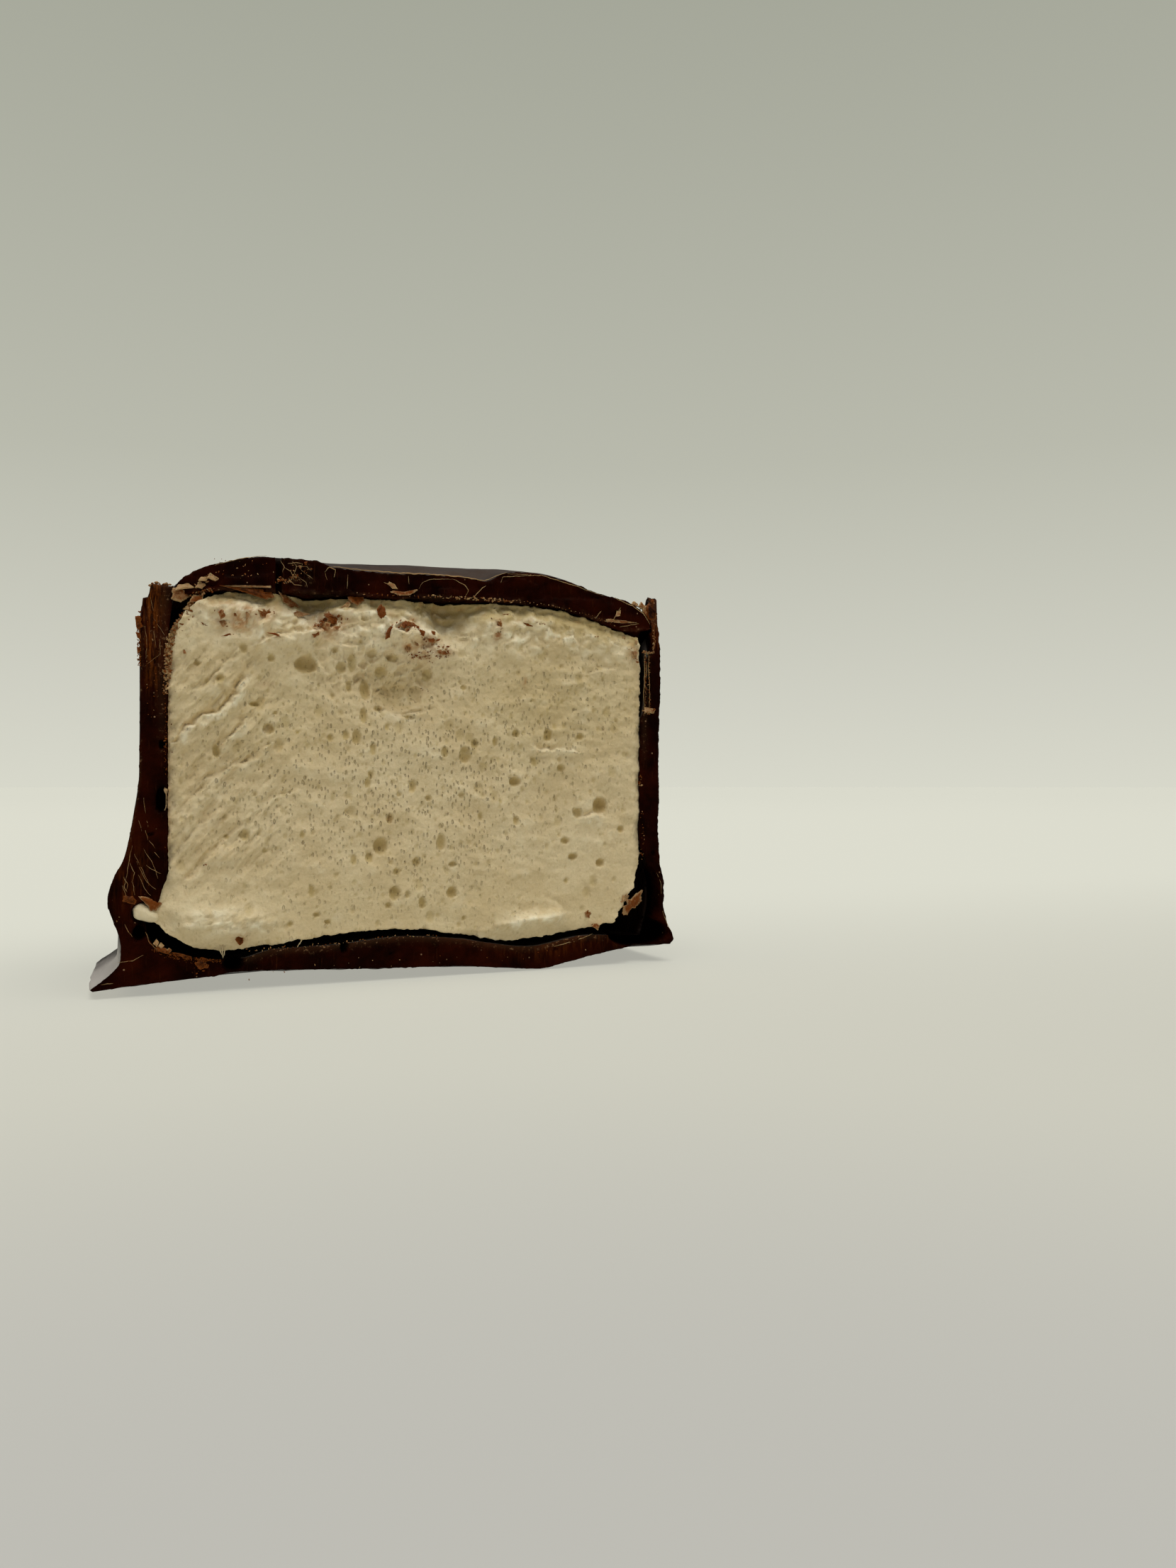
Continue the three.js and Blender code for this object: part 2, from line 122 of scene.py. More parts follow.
BASE_TOP = [
    [-1, 3.3], [0.5, 2.8], [3, 2.3], [5, 2.3], [7.5, 2.85], [12, 2.95], [17, 3.3], [22, 2.9],
    [24.5, 2.4], [28, 1.95], [33, 2.6], [38, 2.2],
]
CORE_LEFT = [[3, 0], [4.6, -1], [7, -0.15], [9, -0.05], [25, 0], [27, 0.35], [29, 1.2]]
CORE_RIGHT = [
    [3, 35.3], [5, 36.6], [7, 37.5], [8.6, 37.95], [18, 37.95], [26, 38.05], [29, 37.8],
]
CORE_BOTTOM = [
    [0, 4.4], [2.5, 3.2], [5, 2.95], [8, 3.25], [17.5, 3.95], [24.5, 3.15], [28, 2.5], [38, 3.6],
]
CORE_TOP = [
    [0, 27.8], [1.8, 28.9], [3, 29.3], [5, 29.45], [9.5, 29.4], [14, 29.5], [22, 29.7], [26, 29.8],
    [30, 29.6], [33.5, 28.9], [36, 28.15], [38, 27.6],
]
LID_FRONT = [
    [0.5, 29.4], [1.2, 30.2], [3, 31.2], [7.4, 32.1], [10.5, 32.1], [12, 31.65], [16, 31.52],
    [20, 31.66], [22.3, 31.62], [24, 31.42], [26, 32.3], [28, 32.4], [31, 32], [34, 31.15],
    [36.2, 30.75], [37, 30.45], [38, 29.95], [38.6, 29.4], [39.05, 28.75],
]
LID_CROWN = [
    [-0.8, 29.3], [0.3, 29.7], [1, 30.3], [2.3, 31.2], [5.4, 32.2], [7, 32.6], [12.5, 32.6],
    [15, 32.6], [19, 32.8], [22, 32.98], [25.3, 33.03], [29, 33.0], [32, 32.55], [35, 31.5],
    [37, 30.7], [39.3, 29.2],
]
LID_UNDER = [
    [-0.8, 28.8], [0.5, 28.85], [1.5, 28.95], [4, 29.45], [14, 29.6], [24, 29.9], [30, 29.8],
    [33.5, 29], [36, 28.25], [37.3, 28.1], [39.3, 28.5],
]

# ---- curves and small helpers ----------------------------------------------------------------


def mix(a, b, t):
    return a + (b - a) * t


def ease(start, end, at):
    """A soft step from 0 at start to 1 at end."""
    t = np.clip((np.asarray(at, float) - start) / (end - start), 0, 1)
    return t * t * (3 - 2 * t)


def fade(start, end, at):
    """A soft step from 1 at start to 0 at end."""
    return 1 - ease(start, end, at)


def window(start, full, still_full, end, at):
    """0 outside start and end, 1 from full to still_full, and soft steps between."""
    return ease(start, full, at) * fade(still_full, end, at)


def mound(x, z, width, height):
    """1 at the middle of a soft round hill of this half width and half height."""
    return np.exp(-((np.asarray(x) / width) ** 2) - (np.asarray(z) / height) ** 2)


def ridge(distance, width):
    """1 on a line and less with the distance from it."""
    return mound(distance, 0, width, 1)


def curve(stations, at):
    """A smooth curve through [position, value] stations that never overshoots them."""
    places, values = np.array(stations, float).T
    slopes = np.diff(values) / np.diff(places)
    before, after = slopes[:-1], slopes[1:]
    total = np.where(before + after == 0, 1, before + after)
    inner = np.where(before * after <= 0, 0, 2 * before * after / total)
    tangents = np.concatenate([slopes[:1], inner, slopes[-1:]])
    at = np.clip(np.asarray(at, float), places[0], places[-1])
    i = np.clip(np.searchsorted(places, at) - 1, 0, len(places) - 2)
    span = places[i + 1] - places[i]
    t = (at - places[i]) / span
    rest = 1 - t
    ends = values[i] * rest**2 * (1 + 2 * t) + values[i + 1] * t**2 * (3 - 2 * t)
    return ends + span * (tangents[i] * t * rest**2 - tangents[i + 1] * t**2 * rest)


def spread(lengths, step):
    """Indices as fractions that step evenly along a line whose pieces have these lengths."""
    run = np.concatenate([[0], np.cumsum(lengths)])
    wanted = np.linspace(0, run[-1], max(2, round(run[-1] / step)) + 1)
    return np.interp(wanted, run, np.arange(len(run)))


# ---- seeded noise on arrays of points --------------------------------------------------------


def scramble(ix, iy, iz, seed):
    """A random whole number under 2**32 for each lattice corner."""
    n = (ix * 374761393 + iy * 668265263 + iz * 1440662683 + seed * 974711) & 0xFFFFFFFF
    n = ((n ^ (n >> 13)) * 1274126177) & 0xFFFFFFFF
    n = ((n ^ (n >> 16)) * 2246822519) & 0xFFFFFFFF
    return n ^ (n >> 15)


def soft_noise(points, size, seed=0):
    """Gradient noise from -1 to 1 with features about size mm across; size may be per axis."""
    scaled = np.asarray(points, float) / np.asarray(size, float)
    cell = np.floor(scaled).astype(np.int64)
    part = scaled - cell
    fade = part**3 * (part * (part * 6 - 15) + 10)
    total = np.zeros(scaled.shape[:-1])
    for corner in np.ndindex(2, 2, 2):
        picked = [cell[..., k] + corner[k] for k in range(3)]
        turn = scramble(*picked, seed) * (2 * math.pi / 2**32)
        tilt = scramble(*picked, seed + 71) * (2 / 2**32) - 1
        flat = np.sqrt(1 - tilt**2)
        away = part - np.array(corner)
        slope = flat * (np.cos(turn) * away[..., 0] + np.sin(turn) * away[..., 1])
        slope += tilt * away[..., 2]
        share = np.ones(scaled.shape[:-1])
        for k in range(3):
            share = share * (fade[..., k] if corner[k] else 1 - fade[..., k])
        total += slope * share
    return total * 1.5


def rough(points, size, octaves, seed=0, fall=0.5):
    """Several layers of soft noise, each half as wide and fall times as strong as the last."""
    total, share = 0, 1
    for octave in range(octaves):
        total = total + share * soft_noise(points, np.asarray(size, float) / 2**octave, seed + octave)
        share *= fall
    return total


def cells(points, size, seed=0, jitter=0.85):
    """Nearest and second nearest distance to scattered seeds, in cells, and the nearest's number."""
    scaled = np.asarray(points, float) / np.asarray(size, float)
    home = np.floor(scaled).astype(np.int64)
    nearest = np.full(scaled.shape[:-1], 9.0)
    second = np.full(scaled.shape[:-1], 9.0)
    owner = np.zeros(scaled.shape[:-1])
    for step in np.ndindex(3, 3):
        ix, iz = home[..., 0] + step[0] - 1, home[..., 1] + step[1] - 1
        place_x = ix + 0.5 + jitter * (scramble(ix, iz, 0 * ix, seed) / 2**32 - 0.5)
        place_z = iz + 0.5 + jitter * (scramble(ix, iz, 0 * ix, seed + 5) / 2**32 - 0.5)
        distance = np.hypot(scaled[..., 0] - place_x, scaled[..., 1] - place_z)
        closer = distance < nearest
        second = np.where(closer, nearest, np.minimum(second, distance))
        owner = np.where(closer, scramble(ix, iz, 0 * ix, seed + 9) / 2**32, owner)
        nearest = np.minimum(nearest, distance)
    return nearest, second, owner


# ---- meshes ----------------------------------------------------------------------------------


def on_frame(points):
    return (np.asarray(points, float) + ORIGIN) * MM


def into_scene(name, data):
    """A new object of a mesh, a lamp or a camera."""
    made = bpy.data.objects.new(name, data)
    bpy.context.scene.collection.objects.link(made)
    return made


def closed_object(name, points, faces, weld=None):
    """An object of these faces, welded where corners are closer than weld, facing outwards."""
    mesh = bpy.data.meshes.new(name)
    mesh.from_pydata(points.tolist(), [], faces)
    shell = bmesh.new()
    shell.from_mesh(mesh)
    if weld:
        bmesh.ops.remove_doubles(shell, verts=shell.verts, dist=weld)
        bmesh.ops.dissolve_degenerate(shell, dist=weld / 4, edges=shell.edges)
    bmesh.ops.recalc_face_normals(shell, faces=shell.faces)
    if shell.calc_volume(signed=True) < 0:
        bmesh.ops.reverse_faces(shell, faces=shell.faces)
    shell.to_mesh(mesh)
    shell.free()
    return into_scene(name, mesh)


class Skin:
    """Grids of points, welded into one closed mesh where their edges meet."""

    def __init__(self):
        self.points = []
        self.faces = []
        self.count = 0

    def add(self, points, faces):
        self.points.append(np.asarray(points, float).reshape(-1, 3))
        self.faces += (faces + self.count).tolist()
        self.count += len(self.points[-1])

    def grid(self, points, flipped=False):
        rows, columns = points.shape[:2]
        numbers = np.arange(rows * columns).reshape(rows, columns)
        quads = [numbers[:-1, :-1], numbers[:-1, 1:], numbers[1:, 1:], numbers[1:, :-1]]
        faces = np.stack(quads[::-1] if flipped else quads, -1).reshape(-1, 4)
        self.add(points, faces)

    def fan(self, ring, pole, flipped=False):
        """Triangles from each edge of an open or closed ring to one pole point."""
        first = np.arange(len(ring) - 1)
        pair = [first + 1, first] if flipped else [first, first + 1]
        faces = np.stack([*pair, np.full(len(first), len(ring))], -1)
        self.add(np.vstack([ring, [pole]]), faces)

    def object(self, name):
        """One object of all the grids, with its corners still in cut coordinates."""
        return closed_object(name, np.vstack(self.points), self.faces, WELD)


def rows_of(items, kind):
    """The three numbers that each item holds, one row an item."""
    flat = np.zeros(len(items) * 3)
    items.foreach_get(kind, flat)
    return flat.reshape(-1, 3)


def whole_numbers_of(items, kind):
    held = np.zeros(len(items), int)
    items.foreach_get(kind, held)
    return held


def corners_of(made):
    return rows_of(made.data.vertices, "co")


def normals_of(made):
    return rows_of(made.data.vertex_normals, "vector")


def place_corners(made, points):
    made.data.vertices.foreach_set("co", np.asarray(points, float).ravel())
    made.data.update()


def raise_skin(points, normals, height):
    """Moves each corner out along its normal by its own height."""
    points += normals * height[:, None]


def stain(made, name, values):
    """Keeps a number from 0 to 1 at each corner, for the piece's material to read."""
    held = made.data.attributes.new(name, "FLOAT", "POINT")
    held.data.foreach_set("value", np.clip(values, 0, 1).astype(np.float32))


def face_means(made, values):
    """The mean at each face of a number kept at the corners."""
    faces = made.data.polygons
    corners = whole_numbers_of(made.data.loops, "vertex_index")
    sums = np.add.reduceat(values[corners], whole_numbers_of(faces, "loop_start"))
    return sums / whole_numbers_of(faces, "loop_total")


def finish_piece(made, finishes, node=None, second=None):
    """Takes a piece to the frame, gives it its finishes, fixes it to the root and hides the part that it
    stands for.

    second is a number at each corner; faces where it is over a half take the second finish.
    """
    faces = made.data.polygons
    place_corners(made, on_frame(corners_of(made)))
    faces.foreach_set("use_smooth", np.full(len(faces), True))
    made.data.materials.clear()
    for finish in finishes:
        made.data.materials.append(finish)
    if second is not None:
        faces.foreach_set("material_index", (face_means(made, second) > 0.5).astype(int))
    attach(made, "root")
    if node:
        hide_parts(node)


# ---- finishes --------------------------------------------------------------------------------


class Nodes:
    """A node tree, built a node at a time."""

    def __init__(self, tree):
        self.tree = tree

    def node(self, kind, values=None, **settings):
        """A node with its own settings, its inputs set to a value or fed by a socket."""
        made = self.tree.nodes.new(kind)
        for key, value in settings.items():
            setattr(made, key, value)
        for key, value in (values or {}).items():
            self.feed(made.inputs[key], value)
        return made

    def feed(self, socket, value):
        if isinstance(value, bpy.types.NodeSocket):
            self.tree.links.new(value, socket)
        else:
            socket.default_value = value


class Finish(Nodes):
    """A material, with its patterns on the object's own coordinates."""

    def __init__(self, name):
        self.material = bpy.data.materials.new(name)
        self.material.use_nodes = True
        super().__init__(self.material.node_tree)
        self.shader = self.tree.nodes["Principled BSDF"]
        self.object_place = self.node("ShaderNodeTexCoord").outputs["Object"]

    def set(self, **values):
        """Shader sockets by name, with spaces as underscores."""
        for key, value in values.items():
            self.feed(self.shader.inputs[key.replace("_", " ")], value)

    def mark(self, name):
        """A number kept at the piece's corners."""
        return self.node("ShaderNodeAttribute", attribute_name=name).outputs["Fac"]

    def math(self, operation, a, b):
        return self.node("ShaderNodeMath", {0: a, 1: b}, operation=operation).outputs[0]

    def placed(self, size, stretch, turn=(0, 0, 0)):
        """The object's own coordinates, turned and scaled so that one unit is a feature."""
        scale = tuple(1 / (size * MM * s) for s in stretch)
        values = {"Vector": self.object_place, "Rotation": turn, "Scale": scale}
        return self.node("ShaderNodeMapping", values).outputs["Vector"]

    def noise(self, size, detail=3.0, rough=0.55, stretch=(1, 1, 1), turn=(0, 0, 0)):
        """Noise from 0 to 1 with features size mm across, drawn out by stretch."""
        place = self.placed(size, stretch, turn)
        values = {"Vector": place, "Scale": 1.0, "Detail": detail, "Roughness": rough}
        return self.node("ShaderNodeTexNoise", values).outputs["Fac"]

    def dots(self, size, radius, stretch=(1, 1, 1), share=1.0):
        """1 inside scattered dots, in this share of the cells, and 0 outside."""
        cell = self.node("ShaderNodeTexVoronoi", {"Vector": self.placed(size, stretch), "Scale": 1.0})
        inside = self.ramp(cell.outputs["Distance"], radius, radius * 0.5, 0, 1)
        apart = self.node("ShaderNodeSeparateColor", {"Color": cell.outputs["Color"]})
        kept = self.math("LESS_THAN", apart.outputs[0], share)
        return self.math("MULTIPLY", inside, kept)

    def ramp(self, value, start, end, low=0.0, high=1.0):
        """A smooth step from low at start to high at end."""
        values = {"Value": value, "From Min": start, "From Max": end, "To Min": low, "To Max": high}
        kind = self.node("ShaderNodeMapRange", values, interpolation_type="SMOOTHSTEP")
        return kind.outputs["Result"]

    def times(self, a, b):
        return self.math("MULTIPLY", a, b)

    def blend(self, share, a, b, mode="MIX"):
        """Colour a, and colour b over it as far as share says."""
        made = self.node("ShaderNodeMix", data_type="RGBA", blend_type=mode)
        self.feed(made.inputs[0], share)
        self.feed(made.inputs[6], a)
        self.feed(made.inputs[7], b)
        return made.outputs[2]

    def coats(self, ground, *layers):
        """A ground colour and the layers over it, each as its share and its colour."""
        for share, tint in layers:
            ground = self.blend(share, ground, tint)
        return ground

    def reliefs(self, *layers):
        """A normal from reliefs as height, depth in mm and strength, from the lowest up."""
        under = None
        for height, depth, strength in layers:
            values = {"Height": height, "Distance": depth * MM, "Strength": strength}
            if under is not None:
                values["Normal"] = under
            under = self.node("ShaderNodeBump", values).outputs["Normal"]
        return under


def colour(red, green, blue):
    return (red, green, blue, 1)


# Painted shade: the bottom of a gap that no light reaches, painted nearly black.
PAINTED_GAP_SHADE = colour(0.0006, 0.0001, 0.0001)
# Noise values between which most of the noise lies.
LOW, HIGH = 0.35, 0.7


def foam_finish():
    """Cream foam, with painted shade that makes it yellower and darker in its hollows and under the lid,
    painted highlight that whitens it where it stands proud, and fine pores painted dark as shade.
    """
    f = Finish("marshmallow_foam")
    zone = f.mark("pores")
    fine = f.times(f.dots(0.32, 0.33, (0.7, 1, 1.7), 0.6), zone)
    coarse = f.times(f.dots(0.7, 0.2, (0.75, 1, 1.6), 0.6), f.ramp(zone, 0, 0.6, 0.25, 1))
    pores = f.math("MAXIMUM", fine, coarse)
    base = f.coats(
        colour(0.705, 0.56, 0.33),
        (f.ramp(f.noise(4.0, 4), 0.3, 0.7), colour(0.775, 0.64, 0.405)),
        (f.times(f.ramp(f.noise(0.9, 4), 0.45, 0.75), 0.16), colour(0.64, 0.495, 0.275)),
        # Painted shade: yellower and darker in hollows, under the lid and over wide stretches.
        (f.mark("painted_hollow_shade"), colour(0.54, 0.405, 0.17)),
        (f.times(f.ramp(f.noise(0.22, 4, 0.7), 0.42, 0.66), 0.3), colour(0.545, 0.42, 0.225)),
        # Painted highlight: white where the foam stands proud.
        (f.mark("painted_highlight"), colour(0.98, 0.9, 0.68)),
        # Painted shade in the fine pores.
        (f.times(pores, 0.4), colour(0.33, 0.235, 0.105)),
        (f.mark("cocoa"), colour(0.42, 0.155, 0.022)),
    )
    f.set(Base_Color=base, Roughness=0.75, Specular_IOR_Level=0.25)
    f.set(Subsurface_Weight=0.15, Subsurface_Radius=(1.0, 0.75, 0.45), Subsurface_Scale=0.0003)
    closed = f.math("SUBTRACT", 1.0, pores)
    f.set(Normal=f.reliefs((closed, 0.12, 1), (f.noise(0.22, 3), 0.05, 1), (f.noise(0.8, 3), 0.1, 1)))
    return f.material


def shell_finish():
    """The outside of the coat: nearly black, satin, with soft hairline marks, dusty specks, a painted
    reflection on the left foot, a brown painted sheen on the lid and painted shade in the gaps.
    """
    f = Finish("dark_chocolate_shell")
    hair = f.ramp(f.noise(0.45, 1, 0.5, (16, 16, 1), (0.9, 0.7, 0.4)), 0.7, 0.74)
    bloom = f.ramp(f.noise(3.2, 5, 0.65), 0.5, 0.75)
    base = f.coats(
        colour(0.006, 0.0012, 0.0006),
        (f.ramp(f.noise(5.0, 4), LOW, HIGH), colour(0.011, 0.0032, 0.0014)),
        (f.times(f.dots(1.1, 0.09, share=0.35), 0.7), colour(0.16, 0.09, 0.05)),
        (f.times(hair, 0.12), colour(0.12, 0.07, 0.045)),
        # The torn mark: fibrous edges, painted highlight on the bulge and the base, and a brown painted
        # sheen on the lid top.
        (f.mark("torn"), colour(0.075, 0.034, 0.014)),
        (f.times(bloom, 0.5), colour(0.02, 0.0105, 0.0065)),
        # Dusting, and a painted reflection on the outside of the left foot's flare.
        (f.mark("dust_and_sheen"), colour(0.56, 0.515, 0.48)),
        # Painted shade in the pits and gaps, kept in the deep mark.
        (f.mark("deep"), PAINTED_GAP_SHADE),
    )
    shine = f.ramp(f.mark("torn"), 0, 0.4, 0.16, 0.13)
    # The painted shade of the pits and gaps also takes their reflections away.
    f.set(Base_Color=base, Specular_IOR_Level=f.times(shine, f.ramp(f.mark("deep"), 0, 1, 1, 0)))
    f.set(Roughness=f.ramp(f.noise(2.2, 5, 0.65), 0.3, 0.75, 0.4, 0.56))
    f.set(Specular_Tint=colour(1, 0.84, 0.7))
    f.set(Normal=f.reliefs((hair, 0.012, 0.5), (f.noise(0.5, 4), 0.02, 0.5), (f.noise(3.5, 2), 0.12, 0.6)))
    return f.material


def cut_finish():
    """Broken and cut chocolate: dark red brown, dull, scraped by the knife and dusty at edges, with
    painted light on facets, edges, the bulge and the base, and painted shade in pits and gaps.
    """
    f = Finish("dark_chocolate_cut")
    cloud = f.noise(1.6, 5, 0.6)
    scraped = f.ramp(f.noise(0.5, 3, 0.6, (0.35, 1, 4), (0, 0.75, 0)), 0.6, 0.72)
    fibres = f.ramp(f.noise(0.3, 4, 0.65, (0.8, 1, 7)), 0.42, 0.68)
    flake = f.ramp(f.noise(0.28, 4, 0.7), 0.56, 0.68)
    base = f.coats(
        colour(0.0038, 0.0004, 0.0001),
        (f.ramp(cloud, LOW, HIGH), colour(0.012, 0.0012, 0.0003)),
        # Painted light: broad redder patches that stand in for facets catching the light.
        (f.times(f.ramp(f.noise(5.0, 6, 0.6), 0.42, 0.66), 0.7), colour(0.034, 0.004, 0.0006)),
        (f.times(scraped, 0.22), colour(0.1, 0.03, 0.01)),
        # Fibres where the torn mark is, which also holds painted highlight on the bulge and the base.
        (f.times(f.times(fibres, f.mark("torn")), 0.9), colour(0.19, 0.05, 0.007)),
        # Dusting, and a painted highlight along the upper edge of the lid's cut face.
        (f.times(f.mark("dust_and_sheen"), f.ramp(flake, 0, 1, 0.08, 1)), colour(0.3, 0.165, 0.08)),
        (f.times(f.dots(0.7, 0.12, share=0.3), 0.8), colour(0.3, 0.18, 0.1)),
        # Painted shade in the pits and gaps, kept in the deep mark.
        (f.mark("deep"), PAINTED_GAP_SHADE),
    )
    f.set(Base_Color=base, Specular_IOR_Level=0.02, Specular_Tint=colour(1, 0.6, 0.4))
    f.set(Roughness=f.ramp(cloud, 0.3, 0.7, 0.38, 0.62))
    grain, swells = f.noise(0.16, 3), f.noise(0.7, 4)
    f.set(Normal=f.reliefs((grain, 0.035, 0.8), (scraped, 0.03, 0.6), (swells, 0.1, 0.7)))
    return f.material


def shaving_finish():
    """Thin chocolate: dark red brown where its shade is low, orange brown and tan where it is high; a
    shaving's edge is painted paler as highlight.
    """
    f = Finish("chocolate_shaving")
    mottled = f.ramp(f.noise(0.35, 4, 0.7), LOW, HIGH, -0.12, 0.14)
    shade = f.math("ADD", f.mark("shade"), mottled)
    base = f.coats(
        colour(0.012, 0.0016, 0.0005),
        (f.ramp(shade, 0.05, 0.5), colour(0.17, 0.045, 0.007)),
        (f.ramp(shade, 0.5, 1.0), colour(0.42, 0.27, 0.13)),
    )
    f.set(Base_Color=base, Roughness=0.45, Specular_IOR_Level=0.08, Specular_Tint=colour(1, 0.8, 0.6))
    f.set(Subsurface_Weight=0.2, Subsurface_Radius=(1.0, 0.3, 0.1), Subsurface_Scale=0.0003)
    f.set(Normal=f.reliefs((f.noise(0.18, 4), 0.03, 0.9)))
    return f.material


# ---- the forms that the pieces share ---------------------------------------------------------


def lid_under(x, y):
    return curve(LID_UNDER, x) - 0.75 * ease(LID_BACK - LID_ROLL, LID_BACK, y)


def lid_top(x, y):
    roll = np.clip((y - (LID_BACK - LID_ROLL)) / (LID_ROLL + 0.25), 0, 1)
    fallen = LID_ROLL * (1 - np.sqrt(1 - roll**2))
    crown = mix(curve(LID_FRONT, x), curve(LID_CROWN, x), ease(0, LID_CROWN_START, y))
    return np.maximum(crown - fallen, lid_under(x, y) + LID_EDGE)


def corner_inset(y):
    into = np.clip((y - (LID_BACK - LID_CORNER)) / LID_CORNER, 0, 1)
    return LID_CORNER * (1 - np.sqrt(1 - into**2))


def lid_left(y):
    far = -1.1 + WALL_TAPER * (y / 17.4) ** 2
    return mix(0.5, far, ease(2, 6, y)) + corner_inset(y)


def lid_right(y):
    near = mix(39.05, 38.45, ease(0.2, 0.5, y))
    far = 39.6 - WALL_TAPER * (y / 17.4) ** 2
    return mix(near, far, ease(1.2, 4, y)) - corner_inset(y)


def crack_at(y):
    return CRACK_X - 8.2 * (y / CRACK_REACH) ** 1.5 + 0.25 * np.sin(2.1 * y)


def rim_top(x, y):
    """Height of the broken rim of the wall, highest at the two ends of the cut."""
    on_right = ease(10, 30, x)
    shard = STANDING_SHARD * on_right * ridge(y - 0.9, 0.8)
    at_cut = mix(RIM_HEIGHT, RIM_HEIGHT_RIGHT, on_right) + shard
    chipped = RIM_CHIP * on_right * fade(0.15, 0.4, y)
    return mix(at_cut, lid_under(x, y) - RIM_CLEARANCE, ease(0.8, 3.3, y)) - chipped


def foot_lift(x, y):
    """How far the underside is off the table: it slopes up to the cut and the lip stands clear."""
    x, y = np.asarray(x, float), np.asarray(y, float)
    beyond = np.maximum.reduce([0.5 - x, x - 37.5, y - 18.8, 0 * x])
    lip = LIP_LIFT * ease(0, 3, beyond)
    at_cut = curve(FRONT_LIFT, x)
    slope = at_cut * np.maximum(0, 1 - y * BASE_SLOPE / at_cut) ** 1.35
    return np.maximum(slope, lip * ease(0, 4, y))


def face_depth(x, z):
    """Depth of the foam's cut face behind the cut plane, in its main forms."""
    to_edge = np.minimum.reduce([x, CORE_WIDTH - x, z - 2.8, 29.3 - z])
    rounding = 0.3 * fade(0, 0.9, to_edge)
    bowl = 1.3 * mound(x - 17, z - 23, 3.3, 1.9)
    left_hollow = 1.9 * mound(x - 10.4, z - 28.9, 1.7, 1.3)
    right_hollow = 2.3 * mound(x - 21.2, z - 28.6, 1.9, 1.7)
    top_hollow = 0.5 * fade(0.1, 1.3, curve(CORE_TOP, x) - z) * window(2, 5, 36, 38, x)
    snowy_ridge = 0.45 * mound(x - 18.5, z - 26.9, 2.6, 0.7)
    swelling = FACE_SWELL * mound(x - 3.2, z - 5.4, 3, 1.6)
    return rounding + bowl + left_hollow + right_hollow + top_hollow - snowy_ridge - swelling


# A stop on the way round a wall seen from above: which stretch it is on and how far along.
LEFT, LEFT_CORNER, BACK, RIGHT_CORNER, RIGHT = range(5)


def plan_point(stop, left, right, back, radius, taper):
    """Where a stop is, on a plan with two rounded back corners."""
    stretch, t = stop
    straight = back - radius
    left_inner = left + taper + radius
    right_inner = right - taper - radius
    if stretch == LEFT:
        return left + taper * t * t, straight * t
    if stretch == RIGHT:
        return right - taper * t * t, straight * t
    if stretch == BACK:
        return mix(left_inner, right_inner, t), back + 0 * left_inner
    turn = math.pi / 2 * t
    y = straight + radius * math.sin(turn)
    if stretch == LEFT_CORNER:
        return left_inner - radius * math.cos(turn), y
    return right_inner + radius * math.cos(turn), y


def wall_point(stop, z):
    """The outside of the case at a height."""
    spread_out = ease(0, 6, z)
    radius = mix(FOOT_CORNER, WALL_CORNER, spread_out)
    taper = mix(FOOT_TAPER, WALL_TAPER, spread_out)
    sides = curve(WALL_LEFT, z), curve(WALL_RIGHT, z), curve(WALL_BACK, z)
    return plan_point(stop, *sides, radius, taper)


def cavity_point(stop, z):
    """The inside of the case at a height."""
    sides = curve(CAVITY_LEFT, z), curve(CAVITY_RIGHT, z), curve(CAVITY_BACK, z)
    return plan_point(stop, *sides, CORE_CORNER, 0.0)


# ---- the chocolate case ----------------------------------------------------------------------

CASE_STEP = 0.125
PROFILE_POINTS = 900
FACE_STEPS = 15
CORNER_STEPS = 9
BACK_STEPS = 26
SIDE_STOPS = [0, 0.012, 0.026, 0.045, 0.07, 0.1, 0.14, 0.19, 0.25, 0.33, 0.42, 0.52, 0.64, 0.76, 0.88]
FLOOR_SHARES = [0.985, 0.95, 0.88, 0.75, 0.5, 0.25]
FLOOR_MIDDLE = (19.0, 14.0)
FLOOR_COLUMNS = 340


def base_top(x, y):
    return curve(BASE_TOP, x) + 0 * np.asarray(y)


def case_walls(stops):
    """Grids of the outside and the inside, one row a height and one column a stop."""
    profile = np.linspace(0, RIM_HEIGHT, PROFILE_POINTS)
    bends = np.hypot(np.diff(profile), np.diff(curve(WALL_LEFT, profile)))
    heights = np.interp(spread(bends, CASE_STEP), np.arange(PROFILE_POINTS), profile)
    outside = np.zeros((len(heights), len(stops), 3))
    inside = np.zeros_like(outside)
    for column, stop in enumerate(stops):
        waist = wall_point(stop, WAIST_HEIGHT)
        top = rim_top(*waist)
        z = heights / RIM_HEIGHT * top
        x, y = wall_point(stop, z)
        lifted = z + foot_lift(x, y) * fade(0, FOOT_HEIGHT, z)
        outside[:, column] = np.stack([x, y, lifted], -1)
        floor = curve(BASE_TOP, cavity_point(stop, 3.0)[0])
        z = mix(floor, top, heights / RIM_HEIGHT)
        x, y = cavity_point(stop, z)
        inside[:, column] = np.stack([x, y, z], -1)
    return outside, inside


def stops_round():
    """Stops up the left side, round the back and down the right side."""
    turns = [i / CORNER_STEPS for i in range(CORNER_STEPS + 1)]
    stops = [(LEFT, t) for t in SIDE_STOPS]
    stops += [(LEFT_CORNER, t) for t in turns]
    stops += [(BACK, i / BACK_STEPS) for i in range(1, BACK_STEPS)]
    stops += [(RIGHT_CORNER, 1 - t) for t in turns]
    stops += [(RIGHT, t) for t in reversed(SIDE_STOPS)]
    return stops


CASE_STOPS = stops_round()


